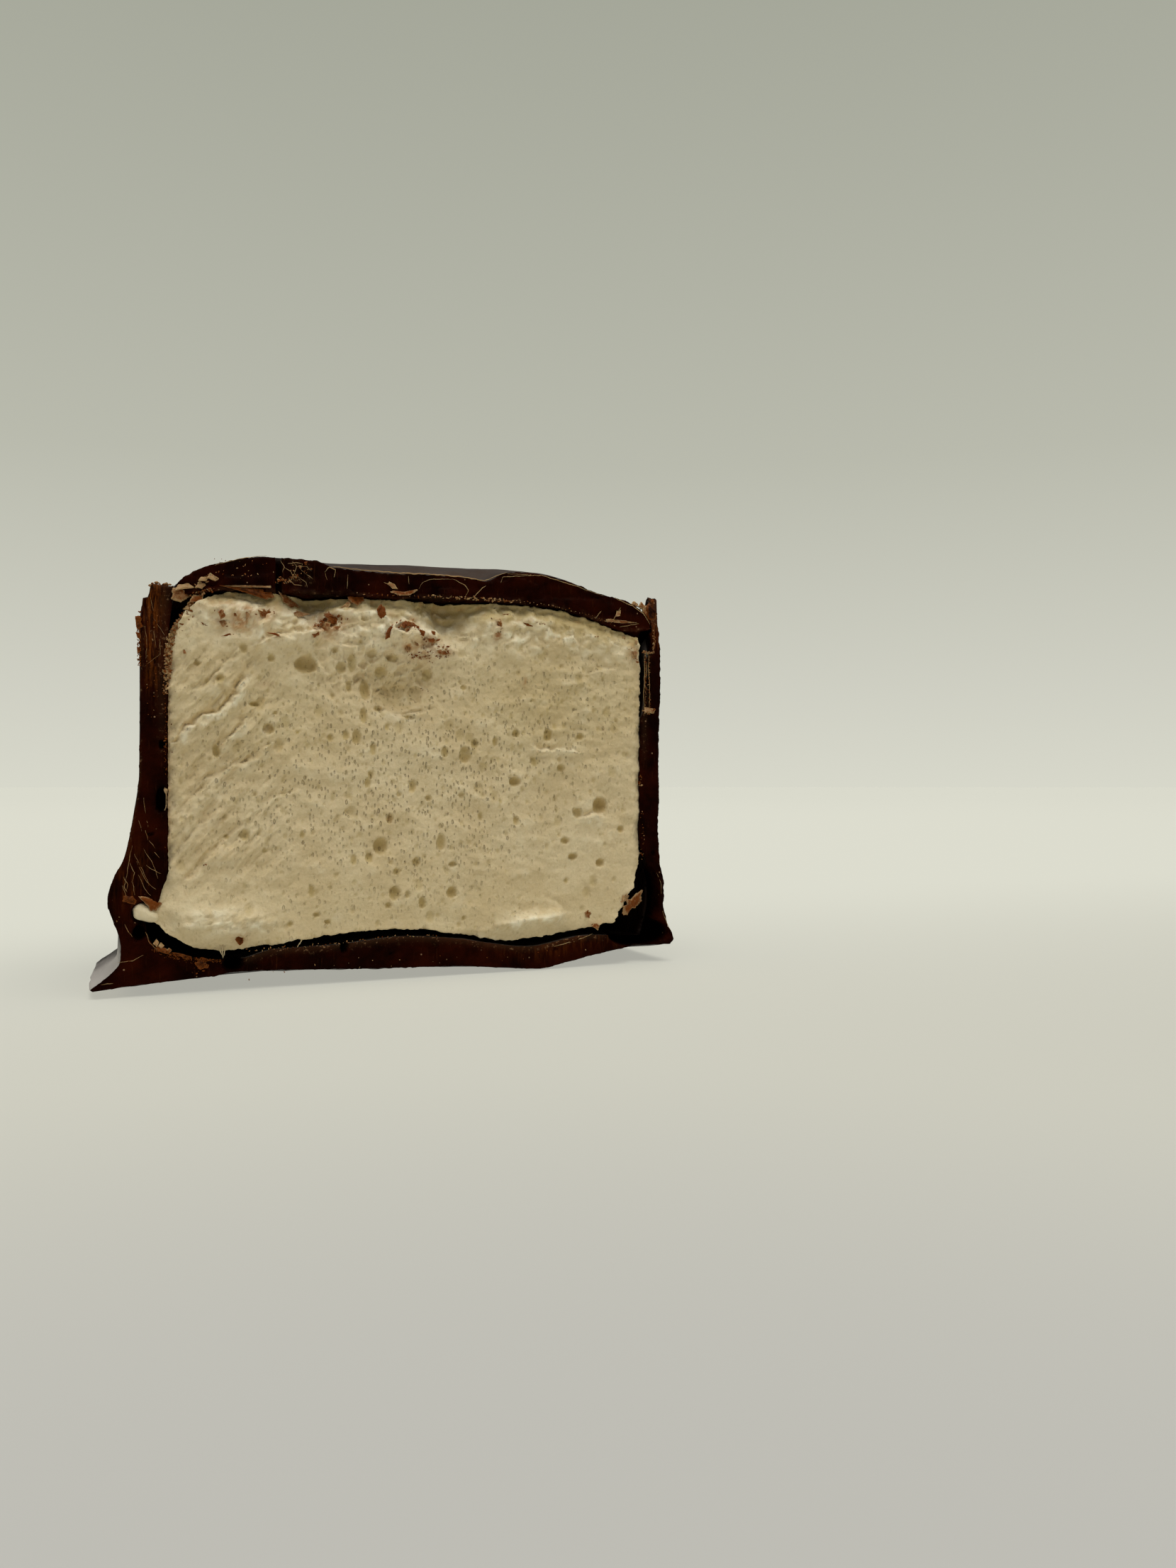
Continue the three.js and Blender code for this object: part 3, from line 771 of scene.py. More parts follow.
def shrinking_floor(skin, loop, height, flipped):
    """Rings from a closed loop in to the middle of the floor."""
    middle = np.array(FLOOR_MIDDLE)
    loop = np.vstack([loop, loop[:1]])
    rings = [loop]
    for share in FLOOR_SHARES:
        plan = mix(middle, loop[:, :2], share)
        rings.append(np.column_stack([plan, height(plan[:, 0], plan[:, 1])]))
    skin.grid(np.array(rings), flipped)
    pole = [*middle, float(height(*middle))]
    skin.fan(rings[-1], pole, flipped)


def case_surface():
    """The closed skin of the case: outside, inside, floor, underside, cut face and broken rim."""
    outside, inside = case_walls(CASE_STOPS)
    across = np.linspace(0, 1, FLOOR_COLUMNS + 1)
    under_x = mix(outside[0, 0, 0], outside[0, -1, 0], across)
    under = np.column_stack([under_x, 0 * across, foot_lift(under_x, 0 * across)])
    floor_x = mix(inside[0, 0, 0], inside[0, -1, 0], across)
    floor = np.column_stack([floor_x, 0 * across, curve(BASE_TOP, floor_x)])
    under[0], under[-1] = outside[0, 0], outside[0, -1]
    floor[0], floor[-1] = inside[0, 0], inside[0, -1]
    skin = Skin()
    skin.grid(outside)
    skin.grid(inside, flipped=True)
    shrinking_floor(skin, np.vstack([outside[0], under[::-1][1:-1]]), foot_lift, True)
    shrinking_floor(skin, np.vstack([inside[0], floor[::-1][1:-1]]), base_top, False)
    outer_edge = np.vstack([outside[::-1, 0], under[1:-1], outside[:, -1]])
    inner_edge = np.vstack([inside[::-1, 0], floor[1:-1], inside[:, -1]])
    steps = np.linspace(0, 1, FACE_STEPS + 1)[:, None, None]
    skin.grid(mix(outer_edge, inner_edge, steps))
    skin.grid(mix(outside[-1], inside[-1], steps), flipped=True)
    return skin.object("case")


def push_pit(points, centre, radii, depth):
    """Corners inside an ellipse on the cut face go back along +y, with steep sides."""
    x, y, z = points.T
    away = ((x - centre[0]) / radii[0]) ** 2 + ((z - centre[1]) / radii[1]) ** 2
    points[:, 1] += depth * fade(0.4, 1.2, away) * fade(0.2, 1.2, y)


# Pits in the cut face of the coat as centre, radii and depth.
CASE_PITS = [
    ((-0.35, 14.1), (0.42, 0.95), 1.6), ((-1.85, 4.55), (0.45, 0.55), 1.5),
    ((-0.3, 18.05), (0.27, 0.32), 0.8), ((12.78, 3), (0.27, 0.75), 1.7), ((4.6, 2), (0.62, 0.6), 2.2),
    ((37.9, 2.6), (2.8, 1.2), 3.2), ((38.65, 5.6), (1.1, 2.6), 2.6), ((-1.45, 5.95), (1, 0.85), 0.9),
    ((16.4, 2.05), (0.14, 0.1), 0.3), ((30.2, 1.6), (0.3, 0.14), 0.2), ((39.2, 9.3), (0.16, 0.3), 0.3),
    ((38.7, 23.6), (0.22, 2.4), 0.45), ((38.68, 27.35), (0.55, 0.9), 2.6),
    ((-0.75, 24.3), (0.1, 0.8), 0.4), ((-1.1, 11.6), (0.2, 0.12), 0.3),
]


# Rough strips that the knife left in the left wall's top, as x, half width and depth.
SPLITS = [(-1.5, 0.07, 0.16), (-1, 0.06, 0.128), (-0.55, 0.05, 0.08)]


def layered_top(points):
    """The left wall has broken off in layers: the two outer ones end lower than the rest."""
    x, y, z = points.T
    near = fade(-0.4, 0.4, x) * fade(1.5, 4, y)
    outer = fade(-1.72, -1.62, x)
    middle = fade(-1.2, -1.08, x) * (1 - outer)
    lowered = (2.3 * outer + 0.9 * middle) / 5.5
    points[:, 2] -= near * lowered * np.clip(z - 24, 0, None)


def close_on_foam(points):
    """At the cut the walls touch the foam, which has stuck to them."""
    x, y, z = points.T
    near = fade(0.5, 1.6, y)
    left = near * ridge(x - curve(CAVITY_LEFT, z), 0.5) * ease(7, 9, z) * (x < 5)
    right = near * ridge(x - curve(CAVITY_RIGHT, z), 0.5) * window(9, 10.5, 20.5, 21.5, z)
    points[:, 0] += 0.42 * left - 0.36 * right * (x > 30)


def bend_left_wall(points):
    """Brings the left wall to its own edge at the cut, and draws it in behind."""
    x, y, z = points.T.copy()
    inner = curve(CAVITY_LEFT, z)
    wider = (curve(EDGE_LEFT, z) - inner) / (curve(WALL_LEFT, z) - inner)
    thicker = fade(0.8, 3.0, y) * ease(2.6, 4, z) * (x < inner + 0.05)
    points[:, 0] += thicker * (wider - 1) * (x - inner)
    layered_top(points)
    points[:, 0] += 0.42 * ease(0, 5, y) * fade(0.6, 3, x) * window(3.5, 6, 27, 29, z)


def ripple_case(points, normals, plain, cut):
    """The dipped coat's soft ripples, folds and scallops, placed by the plain form's corners."""
    x, y, z = plain.T
    broad = soft_noise(points, (9, 9, 14), 3) + 0.5 * soft_noise(points, (4.5, 4.5, 6), 5)
    on_wall = window(3, 8, 26, 29, z) * ease(0.5, 4, y)
    raise_skin(points, normals, mix(0.14, 0.32, ease(0, 5, x)) * broad * on_wall)
    folds = rough(points, (2.4, 2.4, 11), 3, 9) * window(1.5, 4, 10, 20, z)
    raise_skin(points, normals, 0.16 * folds * ease(0.5, 4, y))
    small = rough(points, (2.2, 2.2, 2.8), 3, 15)
    raise_skin(points, normals, 0.05 * small * ease(0.5, 3, y) * (1 - cut))
    scallops = rough(points, (3.4, 3.4, 9), 3, 7)
    raise_skin(points, normals, 0.24 * fade(3, 6, z) * ease(0.3, 2.5, y) * scallops)


def tear_case(points, normals, plain, at_cut, at_rim):
    """The grain, torn edges and splits of the broken and cut chocolate."""
    x, _, z = plain.T
    grain = rough(points, 1.3, 4, 11)
    crumb = rough(points, 0.34, 3, 23)
    raise_skin(points, normals, np.maximum(at_cut, at_rim) * (0.06 * grain + 0.045 * crumb))
    torn = 0.1 * at_rim * rough(points, 0.8, 4, 29, 0.65)
    points[:, 2] += torn + 0.05 * at_cut * rough(points, 0.5, 3, 37, 0.65)
    points[:, 0] += 0.045 * at_cut * rough(points, 0.6, 4, 31, 0.65)
    for place, width, depth in SPLITS:
        points[:, 1] += depth * at_cut * ridge(x - place, width) * ease(19, 24, z) * (x < 0)


def case_dust_and_reflection(points, at_cut, at_rim, rim, gap):
    """Pale dusting along the joints, the torn edges and the standing shard, and a painted reflection on
    the left foot's flared corner.
    """
    x, y, z = points.T
    under_core = 0.85 * ridge(z - curve(BASE_TOP, x), 0.34) * window(4.8, 6, 33, 36, x)
    inner_left = 0.45 * ridge(x - curve(CAVITY_LEFT, z), 0.3) * ease(16, 22, z) * (x < 3)
    inner_right = 0.4 * ridge(x - curve(CAVITY_RIGHT, z), 0.25) * ease(16, 19, z) * (x > 35)
    top_edges = 0.6 * ease(-0.5, -0.1, z - rim)
    fibrous = ease(-0.1, 0.5, rough(points, (0.16, 1, 2.2), 3, 41))
    layers = 0.55 * ease(20, 26, z) * (x < 0.5) * fibrous
    streaked = ease(-0.25, 0.35, rough(points, (0.14, 1, 1.6), 3, 53))
    shard = 0.95 * window(38.1, 38.25, 38.85, 39.0, x) * window(21.2, 21.5, 26.2, 26.5, z) * streaked
    dust_and_sheen = np.maximum.reduce([under_core, inner_left, inner_right, top_edges, layers, shard])
    dust_and_sheen = dust_and_sheen * np.maximum(at_cut, at_rim) * (1 - ease(0.3, 0.8, y) * at_cut)
    ragged = rough(points, (1.6, 2.6, 1.2), 4, 43, 0.6)
    # Painted reflection: the outside of the left foot's flare is painted pale, fading away behind the cut.
    painted_fin_reflection = fade(-3.3, -2.9, x) * ease(0.0, 0.5, z) * fade(2.4, 4.2, z + 0.5 * ragged)
    painted_fin_reflection = painted_fin_reflection * fade(5, 14, y + 2.4 * ragged) * ease(-1.1, -0.4, ragged) * (1 - at_cut)
    broken = ease(-0.2, 0.4, rough(points, 1.4, 4, 47))
    edge_line = 0.6 * ridge(x - curve(EDGE_LEFT, z), 0.12) * ease(5, 8, z) * fade(0.02, 0.2, y) * broken
    return np.maximum(dust_and_sheen + painted_fin_reflection, edge_line) * (1 - gap)


def case_torn_and_highlights(points, at_cut, at_rim):
    """Where the cut face is fibrous and paler at the tops of the walls, with painted highlight on the left
    bulge and along the top of the base.
    """
    x, y, z = points.T
    torn = np.maximum.reduce([
        ease(20, 26, z) * (x < 0) * ridge(x + 1.0, 0.55),
        0.7 * ease(26.2, 28, z) * (x > 38.9),
        # Painted highlight on the bulge.
        0.35 * mound(x + 2.3, z - 8.5, 1.0, 2.4),
        # Painted highlight along the top of the base.
        0.3 * ridge(x - 31, 5) * ridge(z - curve(BASE_TOP, x) + 0.4, 0.7),
    ])
    return torn * np.maximum(at_cut, at_rim) * fade(0.3, 0.8, y)


def case_painted_gap_shade(points, at_cut, at_rim, gap):
    """Painted shade: the pits, the gap at the top right and the narrow gap round the foam are painted
    dark.
    """
    x, y, z = points.T
    within = ease(-0.1, 0.1, x - curve(CAVITY_LEFT, z)) * ease(-0.1, 0.1, curve(CAVITY_RIGHT, z) - x)
    within = within * ease(-0.1, 0.1, z - curve(BASE_TOP, x)) * window(0.15, 0.4, 3, 5, y)
    return np.maximum.reduce([ease(0.4, 1.2, y) * at_cut, gap, within * (1 - at_rim)])


def case_piece(finishes):
    made = case_surface()
    points = corners_of(made)
    plain = points.copy()
    normals = normals_of(made)
    x, y, z = plain.T
    rim = rim_top(x, np.clip(y, 0, 20))
    at_cut = fade(0.02, 0.3, y)
    at_rim = ease(-0.35, -0.08, z - rim)
    cut = np.maximum(at_cut, at_rim)
    bend_left_wall(points)
    ripple_case(points, normals, plain, cut)
    tear_case(points, normals, plain, at_cut, at_rim)
    close_on_foam(points)
    for centre, radii, depth in CASE_PITS:
        push_pit(points, centre, radii, depth)
    points[:, 2] = np.maximum(points[:, 2], 0)
    place_corners(made, points)
    x, _, z = points.T
    # Painted shade: the gap at the top right, between foam, wall and lid, is painted dark.
    gap = window(37.8, 38.0, 38.95, 39.1, x) * window(26.1, 26.3, 29.2, 29.7, z)
    stain(made, "dust_and_sheen", case_dust_and_reflection(points, at_cut, at_rim, rim, gap))
    stain(made, "torn", case_torn_and_highlights(points, at_cut, at_rim))
    # The deep mark carries the painted shade of the pits and gaps.
    stain(made, "deep", case_painted_gap_shade(points, at_cut, at_rim, gap))
    finish_piece(made, finishes, "chocolate_case", cut)


# ---- the lid ---------------------------------------------------------------------------------

MAIN_COLUMNS = 248
CORNER_COLUMNS = 56
CORNER_BACK = 10.4
LID_EDGE_STEPS = 14
# Rows of the lid behind the cut, closest at the cut face, the crack's end and the rolled back.
LID_ROWS = [
    0, 0.1, 0.2, 0.32, 0.46, 0.62, 0.8, 1, 1.25, 1.5, 1.8, 2.15, 2.55, 3, 3.5, 4, 4.6, 5.2,
    5.8, 6.4, 7, 7.6, 8.2, 8.8, 9.3, 9.7, 10.1, 10.4, 10.8, 11.4, 12, 12.7, 13.4, 14.1, 14.8,
    15.4, 16, 16.6, 17.2, 17.7, 18.2, 18.6, 19, 19.3, 19.6, 19.8, 19.95, LID_BACK,
]


def slab_surface(name, rows, columns, left, right):
    """A closed slab between lid_top and lid_under, over rows that run between two side curves."""
    rows = np.array(rows, float)
    x = mix(left(rows)[:, None], right(rows)[:, None], np.linspace(0, 1, columns + 1)[None])
    y = np.broadcast_to(rows[:, None], x.shape)
    upper = np.stack([x, y, lid_top(x, y)], -1)
    lower = np.stack([x, y, lid_under(x, y)], -1)
    skin = Skin()
    skin.grid(upper)
    skin.grid(lower, flipped=True)
    steps = np.linspace(0, 1, LID_EDGE_STEPS + 1)[:, None, None]
    forth, back = slice(None), slice(None, None, -1)
    for picked in ((0, forth), (forth, -1), (-1, back), (back, 0)):
        skin.grid(mix(lower[picked], upper[picked], steps))
    return skin.object(name)


def conchoidal(x, z, seed):
    """Shallow shell-shaped facets left by a clean break, as depth."""
    nearest, _, owner = cells(np.stack([x, z], -1), (2.2, 1.1), seed)
    return 0.3 * (owner - 0.5) + 0.22 * nearest


def lid_breaks(x, y, level):
    """Where the lid is cut or broken: the cut face, its under side, its ends and the crack."""
    around = np.minimum.reduce([x - lid_left(y), lid_right(y) - x, LID_BACK - y])
    sides = np.minimum(x - lid_left(y), lid_right(y) - x)
    broken = fade(1.5, 3, y)
    at_cut = fade(0.02, 0.35, y)
    below = fade(0.02, 0.3, level) * np.maximum(broken, ease(0.1, 0.4, around))
    at_side = fade(0.02, 0.25, sides) * fade(0.75, 0.95, level) * broken
    cracked = ridge(x - crack_at(y), 0.45) * (y < CRACK_REACH) * fade(0.8, 0.97, level)
    face = at_cut * (1 - ease(0.97, 1.0, level) * ease(0.05, 0.2, y))
    return around, at_cut, np.maximum.reduce([face, below, at_side, cracked])


def ripple_lid(points, normals, y, level, seed):
    """The dipped top's soft ripples."""
    on_top = ease(0.7, 1, level) * ease(0.4, 3, y)
    broad = soft_noise(points, (8, 7, 8), seed + 2) + 0.5 * soft_noise(points, (3.5, 3, 3), seed + 4)
    raise_skin(points, normals, 0.15 * broad * on_top)
    ripples = rough(points, (3.2, 2.6, 9), 3, seed + 23)
    raise_skin(points, normals, 0.06 * ripples * on_top)


def rolled_edge(points, normals, around, y, level, seed):
    """Behind the cut the lid laps over the wall with a ragged lower edge; gives where that is."""
    lap = fade(0.9, 1.5, around) * ease(0.6, 2.2, y) * fade(0.1, 0.6, level)
    points[:, 2] -= 0.76 * lap
    ragged = rough(points, (0.9, 0.9, 1.2), 4, seed + 21, 0.6)
    border = fade(0.3, 0.9, around) * ease(1.2, 3, y) * fade(0.15, 0.75, level)
    points[:, 2] += border * fade(0, 0.3, level) * 0.22 * ragged
    raise_skin(points, normals * np.array([1, 1, 0]), border * (0.13 + 0.08 * ragged))
    return border


def lid_dust_and_highlight(points, x, z, at_cut, border, level, seed):
    """Pale dusting on the lid's broken edges, its left end and its joint with the wall, and a painted
    highlight along the upper edge of the cut face.
    """
    def patchy(start, end, size, octaves, shift, more=0.0):
        return ease(start, end, rough(points, size, octaves, seed + shift) + more)

    lower_edge = 0.7 * at_cut * fade(0.0, 0.22, level) * patchy(0, 0.5, 0.9, 3, 15, 0.2)
    # Painted highlight along the upper edge of the cut face.
    upper_edge_highlight = 0.5 * at_cut * ease(0.9, 1.0, level) * patchy(0.1, 0.5, 1.3, 3, 17)
    left_end = at_cut * mound(x - 9.2, z - 31, 1.0, 0.9) * patchy(-0.3, 0.4, 0.7, 4, 27)
    joint = 0.5 * border * fade(0.02, 0.22, level) * patchy(0.1, 0.7, 0.8, 3, 19)
    return np.maximum.reduce([lower_edge, upper_edge_highlight, left_end, joint])


def roughen_lid(made, seed):
    """Ripples, breaks and dust; gives how much each corner is on cut or broken chocolate."""
    points = corners_of(made)
    normals = normals_of(made)
    x, y, z = points.T.copy()
    under = lid_under(x, y)
    level = (z - under) / (lid_top(x, y) - under)
    around, at_cut, cut = lid_breaks(x, y, level)
    ripple_lid(points, normals, y, level, seed)
    points[:, 1] += at_cut * conchoidal(x, z, seed + 6) * ease(0.0, 0.4, 1 - abs(2 * level - 1))
    raise_skin(points, normals, cut * 0.05 * rough(points, 0.9, 4, seed, 0.6))
    points[:, 2] += at_cut * 0.08 * rough(points, 0.7, 4, seed + 9, 0.65)
    hanging = fade(0, 0.3, level) * rough(points, (0.8, 0.8, 0.8), 4, seed + 12, 0.65)
    points[:, 2] += 0.1 * hanging
    border = rolled_edge(points, normals, around, y, level, seed)
    place_corners(made, points)
    stain(made, "dust_and_sheen", lid_dust_and_highlight(points, x, z, at_cut, border, level, seed))
    # Brown painted sheen on the lid's top just behind the cut, streaked.
    streaks = ease(-0.5, 0.5, rough(points, (9, 0.9, 9), 4, seed + 25, 0.6))
    painted_sheen = (1 - at_cut) * ease(0.9, 1, level) * fade(2, 15, y) * window(8, 14, 26, 37, x)
    stain(made, "torn", 0.36 * painted_sheen * streaks)
    return cut


def main_left(y):
    cracked = np.maximum(lid_left(y), crack_at(y) + CRACK_WIDTH / 2)
    return np.where(y < CRACK_REACH, cracked, lid_left(y))


def corner_right(y):
    return crack_at(y) - CRACK_WIDTH / 2


def lid_pieces(finishes):
    main = slab_surface("lid", LID_ROWS, MAIN_COLUMNS, main_left, lid_right)
    cut = roughen_lid(main, 101)
    finish_piece(main, finishes, "chocolate_lid", cut)
    corner_rows = [y for y in LID_ROWS if y <= CORNER_BACK]
    corner = slab_surface("lid_corner", corner_rows, CORNER_COLUMNS, lid_left, corner_right)
    cut = roughen_lid(corner, 131)
    finish_piece(corner, finishes, "chocolate_lid_corner", cut)


# ---- the marshmallow -------------------------------------------------------------------------

FACE_COLUMNS = 330
FACE_ROWS = 228
BACK_DEPTHS = [0.9, 1.4, 2.2, 3.5, 6, 10]
FOAM_MIDDLE = (CORE_WIDTH / 2, 16)


def core_place(u, v):
    """The point of the core's outline at a share of its width and of its height."""
    rough_x = CORE_WIDTH * u
    rough_z = mix(CORE_BOTTOM_HEIGHT, CORE_TOP_HEIGHT, v)
    x = mix(curve(CORE_LEFT, rough_z), curve(CORE_RIGHT, rough_z), u)
    return x, mix(curve(CORE_BOTTOM, rough_x), curve(CORE_TOP, rough_x), v)


# Open bubbles as x, z, half width and half height.
BUBBLES = [
    (5.4, 11.45, 0.42, 0.42), (4.15, 11.35, 0.2, 0.2), (6.85, 10.25, 0.2, 0.2), (7.1, 19.3, 0.42, 0.42),
    (3.4, 17.6, 0.3, 0.5), (9.9, 24.2, 0.85, 0.7), (22.4, 17.5, 0.52, 0.68), (20.4, 10.6, 0.35, 0.7),
    (15.6, 10.4, 0.55, 0.7), (18.1, 15, 0.32, 0.5), (16.3, 12.5, 0.25, 0.4), (9.6, 11.4, 0.2, 0.3),
    (34.2, 13.4, 0.7, 0.7), (32.1, 12.8, 0.45, 0.42), (29.5, 19.2, 0.4, 0.5), (26.7, 19.3, 0.32, 0.32),
    (32.4, 19.1, 0.3, 0.26), (26.6, 15.4, 0.5, 0.4), (26.7, 12.2, 0.26, 0.36), (13.7, 18.8, 0.36, 0.62),
    (15, 17.9, 0.28, 0.5), (11.7, 18.7, 0.26, 0.32), (12.9, 18.9, 0.26, 0.4), (14.6, 15.3, 0.26, 0.42),
    (14.8, 15.9, 0.24, 0.36), (14.7, 9.5, 0.3, 0.42), (13.5, 9.4, 0.25, 0.42), (10.3, 7.1, 0.22, 0.5),
    (16.7, 6.7, 0.45, 0.6), (21.3, 6.6, 0.45, 0.5), (20.7, 17.7, 0.32, 0.46), (18.4, 9.1, 0.32, 0.4),
    (16.8, 8.4, 0.28, 0.28), (23.2, 18.4, 0.3, 0.4), (24.9, 18.6, 0.22, 0.4), (22.3, 22.9, 0.25, 0.22),
    (30.6, 16.5, 0.35, 0.3), (31.1, 7.2, 0.2, 0.24), (31, 10.5, 0.34, 0.3), (28.3, 17, 0.24, 0.4),
    (8.7, 4.7, 0.22, 0.22), (10.7, 5.3, 0.25, 0.2), (11.5, 4.7, 0.25, 0.2), (22.3, 4.55, 0.18, 0.2),
    (22.1, 14.3, 0.26, 0.26), (19.4, 14.1, 0.28, 0.26), (17, 14.4, 0.24, 0.22), (31.7, 9.2, 0.45, 0.3),
    (34.2, 8.6, 0.4, 0.36), (36.1, 11.4, 0.34, 0.34), (14.3, 20.5, 0.3, 0.66), (12.6, 24.1, 0.42, 0.5),
    (13.4, 24.5, 0.34, 0.7), (13.2, 22.7, 0.26, 0.46), (14.5, 22.5, 0.42, 0.8), (15.8, 23.9, 0.5, 0.5),
    (17.9, 20.4, 0.42, 0.22), (15.5, 21, 0.34, 0.36), (5.3, 25.2, 0.3, 0.4), (2.1, 24, 0.26, 0.2),
    (3.7, 22.9, 0.3, 0.3), (16.2, 5.8, 0.24, 0.26), (18.9, 5.9, 0.3, 0.5), (17.7, 6.6, 0.2, 0.3),
    (25.3, 13.8, 0.14, 0.26), (23.7, 12.6, 0.2, 0.36), (21.4, 8.8, 0.34, 0.24), (14.1, 25.9, 0.3, 0.4),
    (15, 25.3, 0.4, 0.3), (16.6, 25, 0.5, 0.3), (19.5, 23.8, 0.36, 0.5), (14.4, 27.9, 0.34, 0.24),
    (7.3, 24.6, 0.3, 0.3), (6.1, 21.1, 0.4, 0.2), (7.6, 20.5, 0.16, 0.16), (9.2, 19.1, 0.16, 0.16),
    (16.1, 19.6, 0.2, 0.3), (12.1, 25.4, 0.24, 0.24),
]
# Small pits all over the face as cell size, share of the cells, depth and seed.
SCATTERED_PITS = [(1.25, 0.16, 0.13, 401), (0.62, 0.26, 0.1, 411), (0.36, 0.3, 0.07, 431)]
# Wide shallow dishes as x, z, half width, half height and depth.
DISHES = [
    (17.1, 22.1, 2, 1.15, 0.45), (18.9, 24.2, 0.55, 1.1, 0.3), (23.1, 6.3, 0.8, 0.9, 0.12),
    (33.7, 25.5, 0.9, 0.6, 0.2), (9.2, 26.9, 1.2, 0.5, 0.4), (28.6, 6.9, 2.4, 1.2, 0.12),
    (27.1, 16.4, 1.1, 0.7, 0.12), (34.6, 14.3, 1, 1.2, 0.18), (20.5, 14, 3, 2, 0.08),
]
# Puffed or smeared lumps as x, z, half width, half height and height.
LUMPS = [
    (19.8, 25.7, 1.3, 0.6, 0.3), (28.3, 4.25, 1.7, 0.42, 0.55), (26.6, 3.9, 1.1, 0.4, 0.36),
    (30, 4.5, 0.7, 0.4, 0.3), (12.2, 28.5, 1, 0.6, 0.35), (10.2, 26.8, 1.3, 0.4, 0.35),
    (7, 27.2, 0.7, 0.4, 0.3), (6.6, 26.4, 0.5, 0.9, 0.34), (17.4, 26.9, 1.3, 0.5, 0.3),
    (19.6, 27, 0.9, 0.5, 0.35), (5.3, 28, 1.3, 0.5, 0.3), (24, 28, 1.6, 0.8, 0.25),
    (28.2, 28.2, 1.4, 0.8, 0.2), (33.5, 12.2, 1, 0.4, 0.22), (31.6, 17.9, 1.2, 0.4, 0.18),
    (29, 17.9, 0.7, 0.35, 0.2), (2.9, 5.7, 1.7, 0.55, 0.24), (5.4, 5.1, 1.5, 0.5, 0.26),
    (4.4, 4.4, 1.6, 0.4, 0.22), (1.6, 4.9, 1, 0.4, 0.25), (9, 25.9, 1.2, 0.5, 0.15),
    (13, 25.8, 1, 0.7, 0.15), (3.2, 27.9, 0.8, 0.5, 0.2), (1.6, 26.2, 0.8, 0.9, 0.15),
]
# Places where the foam has been smeared into soft folds, as x, z, half width and half height.
SMEARS = [(3.6, 5.3, 2.6, 0.75), (6.2, 4.7, 1.9, 0.6), (28.6, 4.3, 2.3, 0.5), (25.2, 3.6, 1.2, 0.35)]
# Steps left where the foam sheared ahead of the knife, as points of each step, its height and
# how far it takes to fade below.
SHEARS = [
    ([(0.6, 18.4), (1.4, 19.4), (2.3, 20), (3.2, 20.3), (4.1, 20.9), (4.9, 22), (5.4, 22.9)], 0.3, 1.6),
    ([(2, 22), (3.2, 23.2), (4, 24.1), (4.8, 24.9)], 0.16, 1.1),
    ([(3.1, 20.4), (3.6, 21.2), (4, 22.3)], 0.14, 0.7),
    ([(3.7, 17.9), (4.2, 18.6), (4.9, 19.2), (5.4, 20)], 0.24, 1.3),
    ([(2.6, 15.4), (3.6, 16), (4.8, 16.7), (6, 17)], 0.18, 1.2),
    ([(5.8, 17.2), (6.6, 17.5), (7.4, 18.1)], 0.16, 0.8),
    ([(1.4, 8.2), (2.6, 9.5), (3.8, 10.9), (5, 12.1)], 0.14, 1.3),
    ([(0.9, 10.6), (2.1, 12.2), (3.3, 13.3)], 0.12, 1.1),
    ([(0.6, 12.9), (1.9, 14.5), (2.9, 15.2)], 0.12, 1),
    ([(6.5, 13.6), (8, 14.4), (9.4, 14.9)], 0.1, 0.9),
    ([(13.4, 22.8), (14.1, 23.3), (15, 23.8), (15.6, 23.4)], -0.26, 0.8),
    ([(15.1, 20.9), (16.4, 20.8), (17.6, 20.5), (19, 20.9)], 0.2, 0.8),
    ([(6.2, 25.6), (7.4, 26.3), (8.9, 26.5), (10.6, 26.9)], 0.25, 0.9),
    ([(10.4, 24.8), (11, 24.1), (11.6, 23.6)], 0.12, 0.7),
    ([(28.4, 18.3), (29.6, 18), (30.6, 18.2), (32, 18)], 0.2, 0.7),
    ([(32.6, 12.4), (33.5, 12.7), (34.6, 12.6)], 0.18, 0.6),
    ([(29.2, 5.9), (30.3, 5.3), (31.4, 4.7)], 0.1, 0.6),
    ([(33.2, 24.5), (34.3, 24.9), (35.5, 25)], 0.14, 0.7),
]


def beside_path(x, z, path):
    """Distance from a path across the face, positive below it."""
    best = np.full(x.shape, np.inf)
    below = np.zeros(x.shape)
    for (ax, az), (bx, bz) in zip(path[:-1], path[1:]):
        run_x, run_z = bx - ax, bz - az
        length = math.hypot(run_x, run_z)
        along = np.clip(((x - ax) * run_x + (z - az) * run_z) / length**2, 0, 1)
        off_x, off_z = x - ax - along * run_x, z - az - along * run_z
        distance = np.hypot(off_x, off_z)
        side = np.sign(run_z * off_x - run_x * off_z)
        closer = distance < best
        best = np.where(closer, distance, best)
        below = np.where(closer, side, below)
    return best * below


def pored(x, z):
    """How many small pores the cut face has, most of them right of the middle."""
    zone = 0.2 + 0.9 * mound(x - 20, z - 15.5, 10, 7) + 0.3 * mound(x - 8, z - 16, 6, 6)
    zone = zone + 0.35 * mound(x - 31, z - 22, 6, 4)
    return zone * (1 - 0.7 * mound(x - 33, z - 8, 7, 5))


